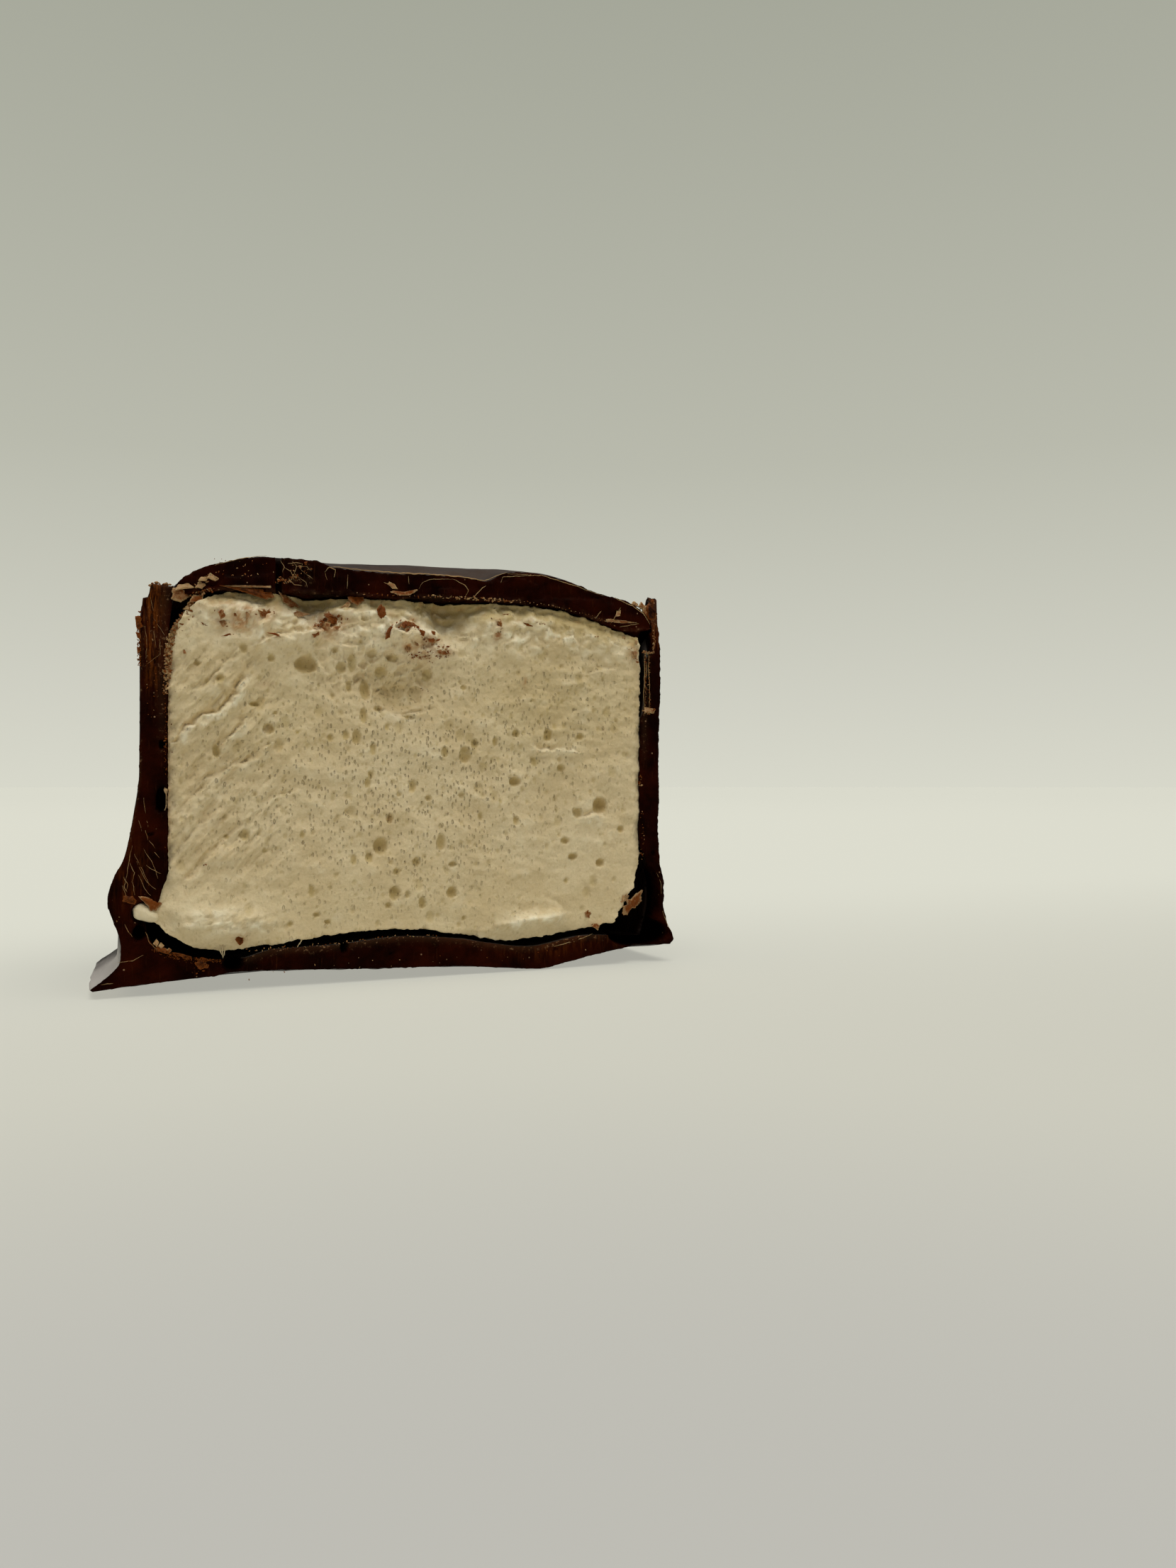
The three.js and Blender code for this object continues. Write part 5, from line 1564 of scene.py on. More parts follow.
# The same, standing a given depth behind the cut instead.
SHAVINGS_AT_CUT = [
    ([(0.3, 28.45), (0.4, 29.3), (1, 29.55), (1.7, 29.35), (1.55, 28.8), (0.95, 28.35)],
     0.05, 0.6, (0.35, 0.25), 0.2, 0.72),
    ([(0.5, 29.1), (0.75, 29.6), (1.5, 29.75), (1.9, 29.45), (1.2, 29.3)],
     -0.15, 0.2, (0.1, 0.7), 0.08, 0.9),
    ([(3.7, 29.72), (5.2, 29.78), (7.2, 29.85), (7.45, 29.2), (7, 28.9), (5.4, 29.35)],
     0, 0.16, (0.1, 0.35), 0.12, 0.33),
    ([(3.75, 29.7), (5.4, 29.85), (7.3, 29.95), (7.2, 29.8), (5.4, 29.7)],
     -0.12, 0.08, (0, 0.5), 0.02, 0.8),
    ([(-1.95, 7.2), (-1.2, 7.1), (-0.35, 6.6), (-0.75, 6.1), (-1.15, 6.2), (-1.4, 6.6)],
     -0.05, 0.3, (0.35, 0.2), 0.12, 0.55),
    ([(36.3, 4.1), (36.2, 4.9), (36.7, 5), (36.6, 5.5), (37.1, 5.4), (37.5, 5.85), (38.45, 6.15),
      (38.15, 5.6), (38.3, 5.2), (37.7, 4.75), (37.1, 4.6), (36.8, 4.25)],
     0.1, 0.3, (0.4, -0.1), 0.12, 0.58),
    ([(36.2, 5.3), (36.25, 5.8), (36.7, 6), (36.9, 5.6), (36.6, 5.3)], 0, 0.2, (0.3, 0.2), 0.08, 0.95),
    ([(38.2, 29.3), (38.3, 30.2), (38.75, 30.5), (38.95, 30.1), (38.75, 29.3)],
     0.3, 0.3, (0.4, 0.1), 0.06, 0.72),
    ([(38.75, 29.2), (38.7, 30.3), (39.05, 30.85), (39.35, 31.05), (39.5, 30.7), (39.75, 29.9),
      (39.65, 29.2)], 0.3, 0.6, (0.1, 0.1), 0.08, 0.2),
    ([(37.2, 30.45), (37.5, 30.75), (37.9, 30.55), (37.8, 30.25)], 0.25, 0.3, (0.2, 0.3), 0.06, 0.8),
    ([(37.85, 30.3), (38.2, 30.7), (38.6, 30.4), (38.4, 30.05)], 0.25, 0.3, (0.2, 0.3), 0.06, 0.7),
    ([(1.9, 29.45), (2.2, 29.9), (2.7, 29.8), (2.4, 29.4)], -0.08, 0.12, (0.2, 0.5), 0.05, 0.85),
    ([(2.1, 29.9), (2.3, 30.25), (3, 30.4), (2.7, 30)], -0.08, 0.12, (0.3, 0.5), 0.05, 0.95),
    ([(2.7, 30.2), (3, 30.65), (3.6, 30.25), (3.3, 30)], -0.08, 0.12, (0.3, 0.5), 0.05, 0.9),
    ([(15.8, 30.8), (16.1, 30.72), (16.3, 30.9), (16.7, 30.75), (16.95, 30.35), (16.5, 30.3),
      (16.3, 30.55)], -0.06, 0.08, (0.3, 0.5), 0.04, 0.8),
    ([(16.3, 30.05), (16.6, 30.2), (17.4, 30.15), (18.6, 30.5), (18.55, 30.35), (17.9, 29.95),
      (17, 29.8)], -0.08, 0.1, (0.1, 0.5), 0.03, 0.62),
    ([(-2.05, 26.2), (-2.15, 27.15), (-1.6, 27.25), (-1.6, 26.4)], -0.05, 0.2, (0.6, 0.1), 0.04, 0.35),
    ([(-2, 25.6), (-2.1, 26), (-1.8, 26), (-1.75, 25.6)], -0.04, 0.12, (0.4, 0.1), 0.03, 0.45),
    ([(-2, 24.6), (-2.05, 25), (-1.8, 24.95), (-1.8, 24.6)], -0.04, 0.12, (0.4, 0.1), 0.03, 0.5),
    ([(35.5, 29.25), (35.75, 29.8), (36.2, 29.9), (36, 29.35)], -0.06, 0.08, (0.2, 0.4), 0.03, 0.8),
    ([(34.6, 28.8), (34.8, 29.1), (36.4, 29), (37.7, 28.85), (36.2, 28.75)],
     -0.05, 0.06, (0, 0.4), 0.02, 0.7),
    ([(38.2, 21.3), (38.35, 21.75), (39.3, 21.6), (39.2, 21.2)], -0.08, 0.12, (0.1, 0.3), 0.04, 0.8),
    ([(-0.95, 3.3), (-0.6, 3.6), (0.3, 3.15), (0.1, 2.95)], 0.05, 0.2, (0.1, 0.5), 0.06, 0.4),
    ([(0.3, 3.05), (0.9, 2.95), (1.7, 2.65), (1.3, 2.5)], 0.05, 0.2, (0.1, 0.5), 0.06, 0.32),
    ([(1.9, 2.2), (2.4, 2.55), (3.1, 2.3), (2.8, 1.8), (2.2, 1.7)], 0, 0.2, (0.2, 0.4), 0.06, 0.28),
    ([(-0.95, 3.75), (-0.7, 4.05), (-0.5, 3.8), (-0.7, 3.5)], 0.1, 0.2, (0.2, 0.4), 0.06, 0.9),
    ([(-0.6, 3.55), (-0.4, 3.8), (-0.15, 3.55), (-0.4, 3.35)], 0.1, 0.2, (0.2, 0.4), 0.06, 0.95),
    ([(-0.05, 3.2), (0.15, 3.4), (0.35, 3.2), (0.15, 3)], 0.05, 0.2, (0.2, 0.4), 0.06, 0.7),
    ([(-3, 6.9), (-2.9, 7.25), (-2.3, 7.3), (-1.95, 7), (-2.2, 6.65), (-2.6, 6.75)],
     -0.03, 0.2, (0.2, 0.3), 0.08, 0.3),
]
# Hair-thin torn edges that catch the light, as half width and paths over the cut.
PALE_LINES = [
    (0.014, [[(-0.9, 27.1), (0.05, 25.5)], [(-1.5, 23.6), (-0.4, 24.6)]]),
    (0.016, [[(9.6, 31.8), (9.5, 31.3), (9.9, 31)], [(9.2, 31.5), (9.9, 31.6), (10.3, 31.3)]]),
    (0.018, [[(18.6, 30.5), (18.9, 31), (19.6, 31.3), (21.4, 31.45)],
        [(8.9, 31.9), (9.2, 31.5), (9, 31), (9.4, 30.7)], [(9.4, 30.7), (9.9, 30.4), (10, 30)]]),
    (0.02, [[(8.3, 31.4), (8.8, 31.1), (9, 30.5)], [(11.3, 31.3), (11.5, 30.6), (11.9, 30.2)],
        [(-1.2, 11.2), (-0.8, 10.6)], [(-1.9, 12.6), (-1.7, 11.8)], [(-1.6, 14.2), (-1.45, 13.1)],
        [(-0.5, 25.6), (-0.45, 24.4)], [(39.5, 7.6), (39.9, 6.8), (39.95, 5.8)]]),
    (0.022, [[(-1.6, 10.6), (-1, 9.6), (-0.6, 8.4)], [(-2.2, 10.2), (-1.7, 9.2), (-1.2, 7.9)],
        [(-0.9, 10.4), (-0.5, 9.9)], [(-1.9, 8.7), (-1.5, 7.7), (-1.1, 7.2)],
        [(-1.5, 26.5), (-1.35, 25.2), (-1.45, 24.2)], [(-0.9, 26.2), (-0.75, 25)]]),
    (0.024, [[(13.05, 31.2), (13, 30.1)], [(17.8, 31.4), (17.85, 30.8)],
        [(8, 31.9), (8.3, 31.4), (8.15, 31)], [(8.5, 31.7), (9, 31.8), (9.6, 31.8)],
        [(9.9, 31), (10.4, 30.7)], [(-2.05, 9.7), (-1.4, 8.2), (-0.7, 7.6)],
        [(-1.4, 9.4), (-0.9, 9), (-0.4, 8.75)], [(-1.45, 11.9), (-1.3, 11.2)],
        [(-1.4, 12.8), (-1.25, 12.1)], [(-2.3, 8.2), (-2.15, 7.3)],
        [(3.3, 31.2), (5.2, 31.85), (7, 32.2)], [(-2.5, 9.6), (-2.2, 8.9), (-2.35, 8.2)],
        [(-1.1, 28.6), (-0.95, 27.6)], [(38.5, 25.6), (38.55, 24.2)]]),
    (0.025, [[(40.05, 4.3), (40.45, 3.3), (40.9, 2.5)]]),
    (0.026, [[(8.6, 30.6), (9, 30.2), (9.6, 30.1)], [(8.1, 30.6), (8.5, 30.2)],
        [(-3, 8), (-2.75, 7.2), (-2.9, 6.8)]]),
    (0.027, [[(28, 32.2), (25.6, 31.9), (25.3, 31.2)],
        [(26, 32.2), (29, 32.25), (32, 31.6), (34.5, 30.95)], [(-2.35, 10.8), (-2.6, 9.5), (-2.75, 8.3)],
        [(-2.9, 8.6), (-2.6, 8.1), (-2.75, 7.6)], [(-3.3, 2.55), (-2.3, 2.6), (-1.6, 3)],
        [(-4.4, 1.05), (-3.6, 1.1)]]),
    (0.03, [[(38.3, 26.1), (38.35, 24.6), (38.25, 22.8), (38.35, 21.6)],
        [(38.75, 26.2), (38.7, 24.9), (38.85, 23.4), (38.8, 21.6)]]),
    (0.031, [[(34.65, 30.2), (34.3, 29.7), (33.75, 29)], [(36, 28.4), (36.6, 28.55), (37.8, 28.8)]]),
    (0.034, [[(36.1, 30.1), (35.7, 29.4), (35.2, 28.7)],
        [(21.4, 31.45), (22.4, 31), (22.7, 30.6), (22.4, 30.15)],
        [(23, 30.1), (23.7, 30.7), (24.3, 31.3)],
        [(11.3, 31.3), (11.6, 31.65), (12.1, 31.5), (12, 30.9)],
        [(-2.75, 8.3), (-2.9, 7.9), (-2.7, 7.5)], [(-2.85, 5.2), (-2.6, 4.7), (-2.3, 4.3)],
        [(-1.45, 4.6), (-1.2, 3.9), (-0.7, 3.3)], [(30, 1.85), (32, 2.2), (33.5, 2.7)]]),
    (0.035, [[(38.15, 26.4), (38.6, 26.25), (39.1, 26.4)], [(38.2, 21.5), (38.7, 21.25), (39.25, 21.6)]]),
    (0.041, [[(35.5, 30.85), (37.2, 30.25), (38.2, 29.7), (38.9, 28.8)]]),
    (0.045, [
        [(11.9, 31.74), (14, 31.62), (17, 31.6), (20, 31.7), (22.5, 31.66), (24, 31.48), (25, 31.95),
         (25.9, 32.3)]]),
]


def run_along(path):
    """Length along a path up to each of its points."""
    return np.r_[0, np.cumsum(np.hypot(*np.diff(path, axis=0).T))]


def even_ring(outline, step):
    """Corners of a closed outline at an even step."""
    closed = np.array([*outline, outline[0]], float)
    lengths = run_along(closed)
    at = np.linspace(0, lengths[-1], max(14, round(lengths[-1] / step)), endpoint=False)
    return np.stack([np.interp(at, lengths, closed[:, k]) for k in range(2)], -1)


def upright(x, z):
    """Points on the cut plane."""
    return np.stack([x, 0 * x, z], -1)


def round_trip(count):
    """Each corner of a ring with the next one."""
    return [(i, (i + 1) % count) for i in range(count)]


def tube_faces(count, rings):
    """The quads of a tube whose rings have count corners each."""
    starts = [k * count for k in range(rings - 1)]
    return [(a + i, a + j, a + count + j, a + count + i) for i, j in round_trip(count) for a in starts]


class Loose:
    """Small closed bodies gathered into one mesh, each corner with a shade."""

    def __init__(self):
        self.points, self.faces, self.shades, self.count = [], [], [], 0

    def add(self, points, faces, shades):
        self.points.append(points)
        self.faces += [tuple(self.count + corner for corner in face) for face in faces]
        self.shades.append(shades)
        self.count += len(points)

    def shaving(self, outline, deep, thick, lean, bend, shade, seed):
        """A thin curled flake with a ragged edge, painted paler than its middle as highlight."""
        ring = even_ring(outline, SHAVING_STEP)
        centre = ring.mean(0)
        ragged = 1 + 0.16 * rough(upright(*ring.T), 0.3, 4, seed, 0.65)
        ring = centre + (ring - centre) * ragged[:, None]
        fronts, backs, tones = [], [], []
        for r in SHAVING_RINGS:
            x, z = (centre + r * (ring - centre)).T
            uneven = 0.085 * rough(upright(x, z), 0.4, 3, seed + 7)
            tilt = lean[0] * (x - centre[0]) + lean[1] * (z - centre[1])
            y = deep - bend * (1 - r * r) + tilt + uneven
            fronts.append(np.stack([x, y, z], -1))
            backs.append(np.stack([x, y + thick * (1.25 - 0.8 * r), z], -1))
            # The outer ring is painted paler as highlight, the middle a little darker.
            tones.append(np.full(len(ring), shade + 0.3 * (r > 0.9) - 0.06 * (r < 0.5)))
        poles = [[centre[0], deep - bend + more, centre[1]] for more in (0, 1.2 * thick)]
        rings = fronts + backs[::-1]
        front_pole = len(ring) * len(rings)
        faces = tube_faces(len(ring), len(rings))
        for i, j in round_trip(len(ring)):
            faces.append((j, i, front_pole))
            faces.append((front_pole - 1 - j, front_pole - 1 - i, front_pole + 1))
        self.add(np.vstack(rings + [poles]), faces, np.concatenate([*tones, *tones[::-1], [shade, shade]]))

    def thread(self, path, deep, width, shade):
        """A fine three-sided thread along a path, pointed at both ends."""
        path = np.array(path, float)
        lengths = run_along(path)
        at = np.linspace(0, lengths[-1], max(4, round(lengths[-1] / THREAD_STEP)) + 1)
        x, z = (np.interp(at, lengths, path[:, k]) for k in range(2))
        flat = upright(x, z)
        x = x + 0.05 * rough(flat, 0.5, 2, 903)
        z = z + 0.05 * rough(flat, 0.5, 2, 907)
        swell = width * (0.35 + 0.65 * np.sin(np.pi * at / lengths[-1]))
        swell = swell * (1 + 0.4 * soft_noise(flat, 0.3, 909))
        run_x, run_z = np.gradient(x), np.gradient(z)
        length = np.hypot(run_x, run_z)
        off_x, off_z = -run_z / length * swell, run_x / length * swell
        level = 0 * x + deep
        one = np.stack([x + off_x, level, z + off_z], -1)
        two = np.stack([x - off_x, level, z - off_z], -1)
        top = np.stack([x, level - 0.8 * swell, z], -1)
        points = np.stack([one, top, two], 1).reshape(-1, 3)
        last = len(points)
        faces = tube_faces(3, len(at)) + [(0, 1, 2), (last - 1, last - 2, last - 3)]
        self.add(points, faces, np.full(last, shade))

    def object(self, name):
        points = np.vstack(self.points)
        points[:, 1] = np.maximum(points[:, 1], FOREMOST)
        made = closed_object(name, points, self.faces)
        stain(made, "shade", np.concatenate(self.shades))
        return made


def foam_depth(x, z):
    """How far the foam is behind the cut plane at one place."""
    x, z = np.array([x], float), np.array([z], float)
    return float((face_depth(x, z) + CutFoam(x, z).depth)[0])


def shavings_piece(chocolate):
    loose = Loose()
    for i, (outline, before, thick, lean, bend, shade) in enumerate(SHAVINGS_ON_FOAM):
        deep = foam_depth(*np.mean(outline, axis=0)) - before
        loose.shaving(outline, deep, thick, lean, bend, shade + PALER_ON_FOAM, 700 + 3 * i)
    for i, (outline, deep, thick, lean, bend, shade) in enumerate(SHAVINGS_AT_CUT):
        loose.shaving(outline, deep, thick, lean, bend, shade, 1000 + 3 * i)
    for width, paths in PALE_LINES:
        for path in paths:
            loose.thread(path, -0.02, width, 0.75 if path[0][0] < 0 else 0.9)
    finish_piece(loose.object("shavings"), [chocolate])


# Rows of crumbs as path, depth behind the cut, gap between crumbs, spread, smallest and largest
# radius, and palest shade.
CRUMB_ROWS = [
    ([(0.0, 22.8), (0.05, 23.8), (0.15, 24.8), (0.25, 25.6), (0.55, 26.4), (1.05, 27.1), (1.5, 27.8),
      (1.7, 28.4)], 0.05, 0.016, 0.2, 0.05, 0.16, 0.95),
    ([(-0.1, 21.6), (-0.1, 22.6), (-0.05, 23.8), (0.0, 24.8), (0.15, 25.6), (0.45, 26.4), (0.9, 27.0)],
     0.0, 0.045, 0.16, 0.04, 0.11, 0.9),
    ([(0.6, 26.3), (1.2, 26.9), (1.6, 27.6)], 0.0, 0.05, 0.35, 0.06, 0.15, 0.8),
    ([(-1.2, 29.45), (-0.6, 29.6), (0.2, 29.5)], 0.2, 0.06, 0.16, 0.06, 0.14, 0.9),
    ([(-1.9, 27.0), (-1.92, 26.0), (-1.9, 25.0), (-1.87, 23.6)], 0.0, 0.045, 0.09, 0.04, 0.09, 0.6),
    ([(2.0, 29.4), (2.5, 30.0), (3.2, 30.4)], -0.05, 0.07, 0.25, 0.04, 0.1, 1.0),
    ([(1.6, 28.9), (2.5, 29.15), (3.2, 29.4)], -0.02, 0.06, 0.14, 0.04, 0.1, 0.9),
    ([(7.9, 30.0), (8.6, 30.6), (9.5, 31.4), (10.0, 31.9)], -0.02, 0.07, 0.45, 0.04, 0.11, 0.9),
    ([(13.8, 29.8), (16, 29.82), (19, 29.95)], 0.0, 0.4, 0.1, 0.03, 0.08, 0.8),
    ([(19.5, 29.95), (22, 30.0), (26.5, 30.0)], -0.02, 0.09, 0.11, 0.04, 0.1, 1.05),
    ([(24, 30.0), (28, 30.0), (31, 29.7), (33.5, 29.2), (35.5, 28.5)], 0.0, 0.3, 0.1, 0.03, 0.07, 0.9),
    ([(38.42, 26.3), (38.45, 24.0), (38.4, 21.4)], 0.05, 0.07, 0.07, 0.04, 0.08, 0.8),
    ([(38.8, 26.3), (38.75, 24.0), (38.85, 21.4)], 0.0, 0.1, 0.07, 0.03, 0.07, 0.8),
    ([(38.2, 26.45), (38.7, 26.35), (39.2, 26.45)], -0.02, 0.05, 0.08, 0.05, 0.11, 0.9),
    ([(39.15, 26.6), (39.3, 27.4), (39.15, 28.3)], 0.0, 0.04, 0.08, 0.04, 0.09, 0.9),
    ([(38.2, 21.4), (38.7, 21.2), (39.3, 21.5)], -0.03, 0.05, 0.08, 0.05, 0.11, 0.9),
    ([(37.3, 30.55), (38.0, 30.3), (38.6, 30.2)], 0.3, 0.06, 0.16, 0.05, 0.12, 0.9),
    ([(-0.9, 3.35), (0.3, 2.95), (1.6, 2.5), (3.0, 2.3), (3.8, 2.2)],
     0.02, 0.04, 0.12, 0.03, 0.09, 0.55),
    ([(-0.4, 2.9), (0.9, 2.5), (2.2, 2.1)], 0.02, 0.06, 0.14, 0.03, 0.07, 0.45),
    ([(1.9, 1.7), (2.9, 2.1)], -0.02, 0.08, 0.3, 0.03, 0.08, 0.5),
    ([(-3.48, 5.2), (-3.13, 5.9)], 0.1, 0.06, 0.12, 0.05, 0.11, 0.9),
    ([(38.1, 8.8), (38.2, 10.5), (38.1, 13.0)], 0.02, 0.16, 0.16, 0.03, 0.07, 0.8),
    ([(37.9, 15.0), (37.9, 15.8)], 0.0, 0.1, 0.12, 0.04, 0.1, 0.8),
    ([(-0.15, 22.5), (-0.1, 19.5), (-0.1, 16)], 0.02, 0.14, 0.1, 0.03, 0.07, 0.6),
    ([(-0.2, 13.0), (-0.2, 10), (-0.3, 8)], 0.05, 0.2, 0.12, 0.03, 0.06, 0.5),
    ([(5.6, 2.9), (8, 2.95), (12, 3.05), (17, 3.35), (20, 3.2)], 0.0, 0.25, 0.1, 0.03, 0.07, 0.9),
    ([(6, 1.0), (14, 1.3), (24, 1.3), (33, 1.5)], -0.02, 1.1, 0.4, 0.03, 0.07, 0.9),
    ([(3.2, 31.3), (5.0, 31.2), (7.2, 31.4)], -0.02, 0.3, 0.45, 0.03, 0.06, 0.9),
    ([(3.6, 30.6), (5.0, 30.4), (6.2, 30.5)], -0.02, 0.25, 0.3, 0.03, 0.07, 0.95),
    ([(-0.9, 20), (-0.9, 24), (-0.9, 28)], -0.02, 0.35, 0.5, 0.03, 0.06, 0.8),
]
# Rows of crumbs that lie on the foam, without the depth.
CRUMB_ROWS_ON_FOAM = [
    ([(3.4, 28.0), (4.0, 27.2), (4.2, 26.8)], 0.14, 0.3, 0.03, 0.08, 0.4),
    ([(6.2, 27.9), (7.4, 27.8)], 0.12, 0.25, 0.03, 0.07, 0.4),
    ([(10.6, 26.8), (11.6, 27.6), (12.7, 27.9)], 0.035, 0.42, 0.03, 0.11, 0.6),
    ([(11.2, 27.5), (12.2, 27.3)], 0.04, 0.3, 0.03, 0.11, 0.6),
    ([(16.8, 27.6), (18.2, 27.2), (19.6, 26.4), (21.0, 25.6)], 0.05, 0.35, 0.03, 0.11, 0.55),
    ([(17.7, 25.9), (18.1, 25.1), (18.5, 25.2), (19.0, 25.4), (19.6, 25.0)],
     0.06, 0.24, 0.03, 0.09, 0.55),
    ([(18.9, 26.0), (20.2, 25.3), (21.0, 25.3)], 0.06, 0.2, 0.03, 0.09, 0.6),
    ([(24.6, 28.4), (25.3, 27.9), (25.2, 27.2)], 0.12, 0.15, 0.03, 0.07, 0.5),
    ([(28.4, 28.3), (29.2, 28.2)], 0.12, 0.12, 0.03, 0.07, 0.45),
    ([(19.0, 22.9), (19.5, 22.6)], 0.2, 0.2, 0.03, 0.06, 0.3),
    ([(36.9, 26.6), (37.6, 25.6)], 0.12, 0.25, 0.04, 0.1, 0.7),
    ([(33.7, 27.5), (34.0, 27.5)], 0.2, 0.1, 0.08, 0.14, 0.9),
    ([(24.6, 28.3), (25.4, 27.2)], 0.3, 0.4, 0.02, 0.05, 0.3),
    ([(33.4, 3.4), (34.2, 3.2)], 0.12, 0.2, 0.04, 0.1, 0.5),
    ([(0.4, 22.5), (0.4, 15)], 0.6, 0.4, 0.02, 0.05, 0.2),
    ([(2.5, 9.25), (2.65, 9.35)], 0.1, 0.06, 0.05, 0.09, 0.2),
    ([(36.3, 5.4), (36.8, 5.9)], 0.1, 0.15, 0.06, 0.12, 1.0),
]

# Crumbs along the joint of wall and lid as first and last stop round the wall, gap and largest radius.
JOINT_CRUMBS = [
    (5, 16, 0.32, 0.09), (15, 26, 0.6, 0.07), (28, 46, 0.45, 0.1), (48, 60, 0.8, 0.06),
    (58, 72, 0.4, 0.09),
]


CRUMB_SIZES = {"Gap": "Float", "Spread": "Float", "Smallest": "Float", "Largest": "Float",
               "Darkest": "Float", "Palest": "Float", "Seed": "Int"}


def enabled(sockets, *names):
    """The sockets of these names that the node's own settings leave in use."""
    return [socket for socket in sockets if socket.enabled and socket.name in names]


class CrumbTree(Nodes):
    """Geometry nodes: small angular crumbs strewn along the lines that come in."""

    def __init__(self, finish):
        super().__init__(bpy.data.node_groups.new("strewn_crumbs", "GeometryNodeTree"))
        self.tree.is_modifier = True
        self.socket("Lines", "INPUT", "Geometry")
        for name, kind in CRUMB_SIZES.items():
            self.socket(name, "INPUT", kind)
        self.socket("Crumbs", "OUTPUT", "Geometry")
        self.given = self.node("NodeGroupInput").outputs
        line = self.node("GeometryNodeMeshToCurve", {"Mesh": self.given["Lines"]})
        along = {"Curve": line.outputs["Curve"], "Length": self.given["Gap"]}
        points = self.node("GeometryNodeCurveToPoints", along, mode="LENGTH")
        aside = self.scaled(self.random("FLOAT_VECTOR", (-1, -0.25, -1), (1, 0.25, 1), 1), "Spread")
        moved = {"Geometry": points.outputs["Points"], "Offset": aside}
        strewn = self.node("GeometryNodeSetPosition", moved)
        turned = self.random("FLOAT_VECTOR", (0, 0, 0), (6.28, 6.28, 6.28), 2)
        size = self.random("FLOAT", self.given["Smallest"], self.given["Largest"], 3)
        shape = self.scaled(self.random("FLOAT_VECTOR", (0.35, 0.5, 0.8), (0.9, 1.1, 2.1), 4), size)
        grain = self.node("GeometryNodeMeshIcoSphere", {"Radius": 1, "Subdivisions": 1})
        placed = {"Points": strewn.outputs["Geometry"], "Instance": grain.outputs["Mesh"]}
        placed.update({"Rotation": turned, "Scale": shape})
        crumbs = self.node("GeometryNodeInstanceOnPoints", placed)
        shade = self.random("FLOAT", self.given["Darkest"], self.given["Palest"], 5)
        kept = {"Geometry": crumbs.outputs["Instances"], "Name": "shade"}
        toned = self.node("GeometryNodeStoreNamedAttribute", kept, data_type="FLOAT", domain="INSTANCE")
        self.feed(enabled(toned.inputs, "Value")[0], shade)
        real = self.node("GeometryNodeRealizeInstances", {"Geometry": toned.outputs["Geometry"]})
        dressed = {"Geometry": real.outputs["Geometry"], "Material": finish}
        covered = self.node("GeometryNodeSetMaterial", dressed)
        self.node("NodeGroupOutput", {"Crumbs": covered.outputs["Geometry"]})

    def socket(self, name, way, kind):
        self.tree.interface.new_socket(name, in_out=way, socket_type="NodeSocket" + kind)

    def random(self, kind, low, high, shift):
        """A random value for each crumb, from the tree's seed and a shift of its own."""
        seed = self.node("ShaderNodeMath", {0: self.given["Seed"], 1: shift}, operation="ADD")
        made = self.node("FunctionNodeRandomValue", {"Seed": seed.outputs[0]}, data_type=kind)
        for socket, value in zip(enabled(made.inputs, "Min", "Max"), (low, high)):
            self.feed(socket, value)
        return enabled(made.outputs, "Value")[0]

    def scaled(self, vector, by):
        by = self.given[by] if isinstance(by, str) else by
        made = self.node("ShaderNodeVectorMath", {0: vector, "Scale": by}, operation="SCALE")
        return made.outputs[0]

    def strewn(self, line, values):
        """Corners, faces and shades of the crumbs along one line of points."""
        mesh = bpy.data.meshes.new("crumb_line")
        mesh.from_pydata([tuple(p) for p in line], [(i, i + 1) for i in range(len(line) - 1)], [])
        source = into_scene("crumb_line", mesh)
        nodes = source.modifiers.new("crumbs", "NODES")
        nodes.node_group = self.tree
        for socket in self.tree.interface.items_tree:
            if socket.in_out == "INPUT" and socket.name in values:
                nodes[socket.identifier] = values[socket.name]
        evaluated = source.evaluated_get(bpy.context.evaluated_depsgraph_get())
        plain = bpy.data.meshes.new_from_object(evaluated)
        source.modifiers.remove(nodes)
        points = rows_of(plain.vertices, "co")
        shades = np.zeros(len(points))
        plain.attributes["shade"].data.foreach_get("value", shades)
        faces = [tuple(face.vertices) for face in plain.polygons]
        bpy.data.objects.remove(source)
        bpy.data.meshes.remove(plain)
        return points, faces, shades


def crumb_rows():
    """Every row of crumbs as line, gap, spread, smallest, largest and palest."""
    rows = [([(x, deep, z) for x, z in path], *rest) for path, deep, *rest in CRUMB_ROWS]
    for path, *rest, palest in CRUMB_ROWS_ON_FOAM:
        line = [(x, foam_depth(x, z) - 0.04, z) for x, z in path]
        rows.append((line, *rest, palest + PALER_ON_FOAM))
    for first, last, gap, largest in JOINT_CRUMBS:
        line = []
        for stop in CASE_STOPS[first:last]:
            x, y = wall_point(stop, 28.2)
            line.append((float(x), float(y), float(lid_under(x, y)) - 0.7))
        rows.append((line, gap, 0.28, 0.03, largest, 0.9))
    return rows


def crumbs_piece(chocolate):
    tree = CrumbTree(chocolate)
    loose = Loose()
    for i, (line, gap, spread, smallest, largest, palest) in enumerate(crumb_rows()):
        values = {"Gap": gap, "Spread": spread, "Smallest": smallest, "Largest": largest}
        values.update({"Darkest": max(0.25, 0.75 * palest - 0.15), "Palest": palest, "Seed": 40 + i})
        loose.add(*tree.strewn(line, values))
    finish_piece(loose.object("crumbs"), [chocolate])


# ---- light, floor and camera -----------------------------------------------------------------

EYE = (-0.02434, -0.10083, 0.0152)
LOOKING = (0.402, 0.9157)
LENS = 27.05
TABLE_RINGS = (0.05, 0.15, 0.5, 1.5, 6.0)
TABLE_SIDES = 48
# Middle of the patch of painted shade on the table, near its front edge.
SHADED_PATCH = (EYE[0], EYE[1], 0)
WARM_WHITE = (1, 0.99, 0.94)
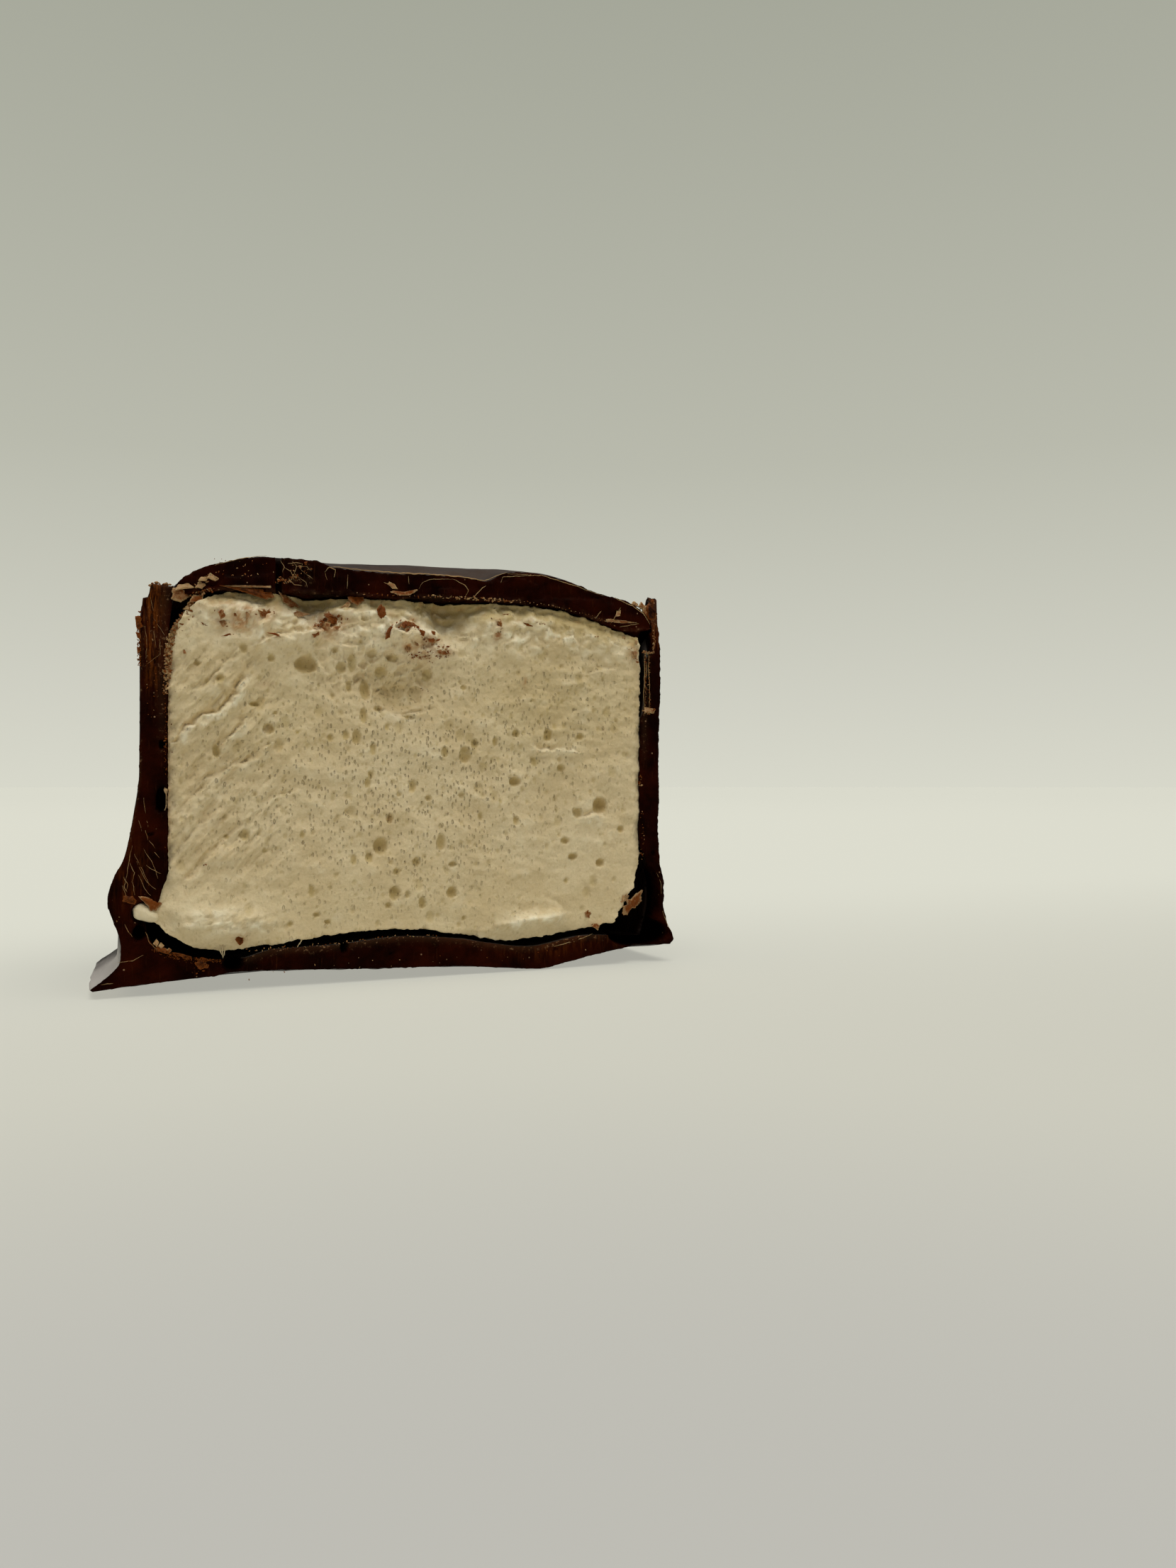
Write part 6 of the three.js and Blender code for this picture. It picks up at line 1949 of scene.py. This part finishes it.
# Light of the room by the sine of the height that it comes from.
ROOM_LIGHT = [
    (0.0, (0.08, 0.08, 0.07)), (0.25, (0.14, 0.14, 0.13)), (0.6, (0.3, 0.3, 0.28)),
    (1.0, (0.5, 0.5, 0.47)),
]
# Shades of the room by the sine of the height that it is seen at.
ROOM_SHADES = [
    (0.0, (0.68, 0.68, 0.59)), (0.08, (0.62, 0.62, 0.54)), (0.26, (0.485, 0.49, 0.415)),
    (0.56, (0.375, 0.385, 0.32)), (1.0, (0.5, 0.5, 0.46)),
]


def table_finish():
    """Pale and dull, with painted shade: paler at the back and darker towards the front edge; it also
    glows with painted light.
    """
    f = Finish("pale_table")
    near, far, patch = colour(0.415, 0.41, 0.36), colour(0.49, 0.49, 0.432), colour(0.352, 0.347, 0.322)
    y = f.node("ShaderNodeSeparateXYZ", {"Vector": f.object_place}).outputs["Y"]
    offset = f.node("ShaderNodeVectorMath", {0: f.object_place, 1: SHADED_PATCH}, operation="DISTANCE")
    shade = f.blend(f.ramp(y, -0.06, 0.05), near, far)
    shade = f.blend(f.ramp(offset.outputs["Value"], 0.022, 0.066), patch, shade)
    shade = f.blend(f.ramp(y, -0.12, -0.6), shade, far)
    f.set(Base_Color=f.blend(1.0, shade, colour(0.62, 0.62, 0.62), "MULTIPLY"))
    # Painted light: the table glows, which softens the shadows on it.
    f.set(Emission_Color=shade, Emission_Strength=0.86, Roughness=0.9, Specular_IOR_Level=0.0)
    return f.material


def table_top():
    """A pale round table, far wider than it looks."""
    turns = [2 * math.pi * i / TABLE_SIDES for i in range(TABLE_SIDES)]
    points = [(0.0, 0.0, 0.0)]
    points += [(r * math.cos(turn), r * math.sin(turn), 0.0) for r in TABLE_RINGS for turn in turns]
    faces = [(0, 1 + i, 1 + j) for i, j in round_trip(TABLE_SIDES)]
    for face in tube_faces(TABLE_SIDES, len(TABLE_RINGS)):
        faces.append(tuple(1 + corner for corner in face[::-1]))
    mesh = bpy.data.meshes.new("table_top")
    mesh.from_pydata(points, [], faces)
    mesh.materials.append(table_finish())
    into_scene("table_top", mesh)


def wide_window(place, target, size, power):
    """A large soft lamp above and behind, for the sheen on the lid."""
    lamp = bpy.data.lights.new("window", "AREA")
    lamp.shape = "RECTANGLE"
    lamp.size, lamp.size_y = size
    lamp.energy = power
    lamp.color = (1, 0.99, 0.95)
    held = into_scene("window", lamp)
    held.location = place
    held.rotation_euler = (Vector(target) - Vector(place)).to_track_quat("-Z", "Y").to_euler()


def wide_sun(name, power, angle, place):
    """Soft even light from one side, so that the table is as bright far away as near."""
    lamp = bpy.data.lights.new(name, "SUN")
    lamp.energy = power
    lamp.angle = math.radians(angle)
    lamp.color = WARM_WHITE
    into_scene(name, lamp).rotation_euler = Vector(place).to_track_quat("Z", "Y").to_euler()


def shades_by_height(nodes, height, shades):
    """Colours that change smoothly with a height from 0 to 1."""
    ramp = nodes.node("ShaderNodeValToRGB", {"Fac": height})
    stops = ramp.color_ramp.elements
    stops.remove(stops[1])
    stops[0].position = 0.0
    stops[0].color = colour(*shades[0][1])
    for at, tint in shades[1:]:
        stops.new(at).color = colour(*tint)
    return ramp.outputs["Color"]


def soft_room():
    """A pale room, brightest at the table's far edge, lit for the object from high up."""
    world = bpy.data.worlds.new("soft_room")
    world.use_nodes = True
    nodes = Nodes(world.node_tree)
    place = nodes.node("ShaderNodeTexCoord").outputs["Generated"]
    height = nodes.node("ShaderNodeSeparateXYZ", {"Vector": place}).outputs["Z"]
    seen = nodes.node("ShaderNodeLightPath").outputs["Is Camera Ray"]
    either = nodes.node("ShaderNodeMix", {0: seen}, data_type="RGBA")
    nodes.feed(either.inputs[6], shades_by_height(nodes, height, ROOM_LIGHT))
    nodes.feed(either.inputs[7], shades_by_height(nodes, height, ROOM_SHADES))
    nodes.feed(world.node_tree.nodes["Background"].inputs["Color"], either.outputs[2])
    bpy.context.scene.world = world


def camera():
    made = into_scene("camera", bpy.data.cameras.new("camera"))
    made.data.lens = LENS
    made.data.sensor_width = 36
    made.data.clip_start = 0.005
    made.data.clip_end = 20
    made.location = EYE
    made.rotation_euler = (math.pi / 2, 0, -math.atan2(*LOOKING))
    return made


def studio():
    scene = bpy.context.scene
    scene.view_settings.view_transform = "Standard"
    table_top()
    soft_room()
    wide_sun("overhead", 1.88, 56, (0.1, -0.27, 1))
    wide_sun("front", 0.12, 40, (-0.35, -0.75, 0.16))
    wide_window((0.05, 0.3, 0.75), (0, 0, 0.01), (0.8, 0.6), 0.5)
    scene.camera = camera()


def half_marshmallow():
    foam, shell, cut, thin = foam_finish(), shell_finish(), cut_finish(), shaving_finish()
    case_piece([shell, cut])
    lid_pieces([shell, cut])
    marshmallow_piece(foam)
    squeezed_foam_piece(foam)
    foam_strands_piece(foam)
    shavings_piece(thin)
    crumbs_piece(thin)


half_marshmallow()
studio()
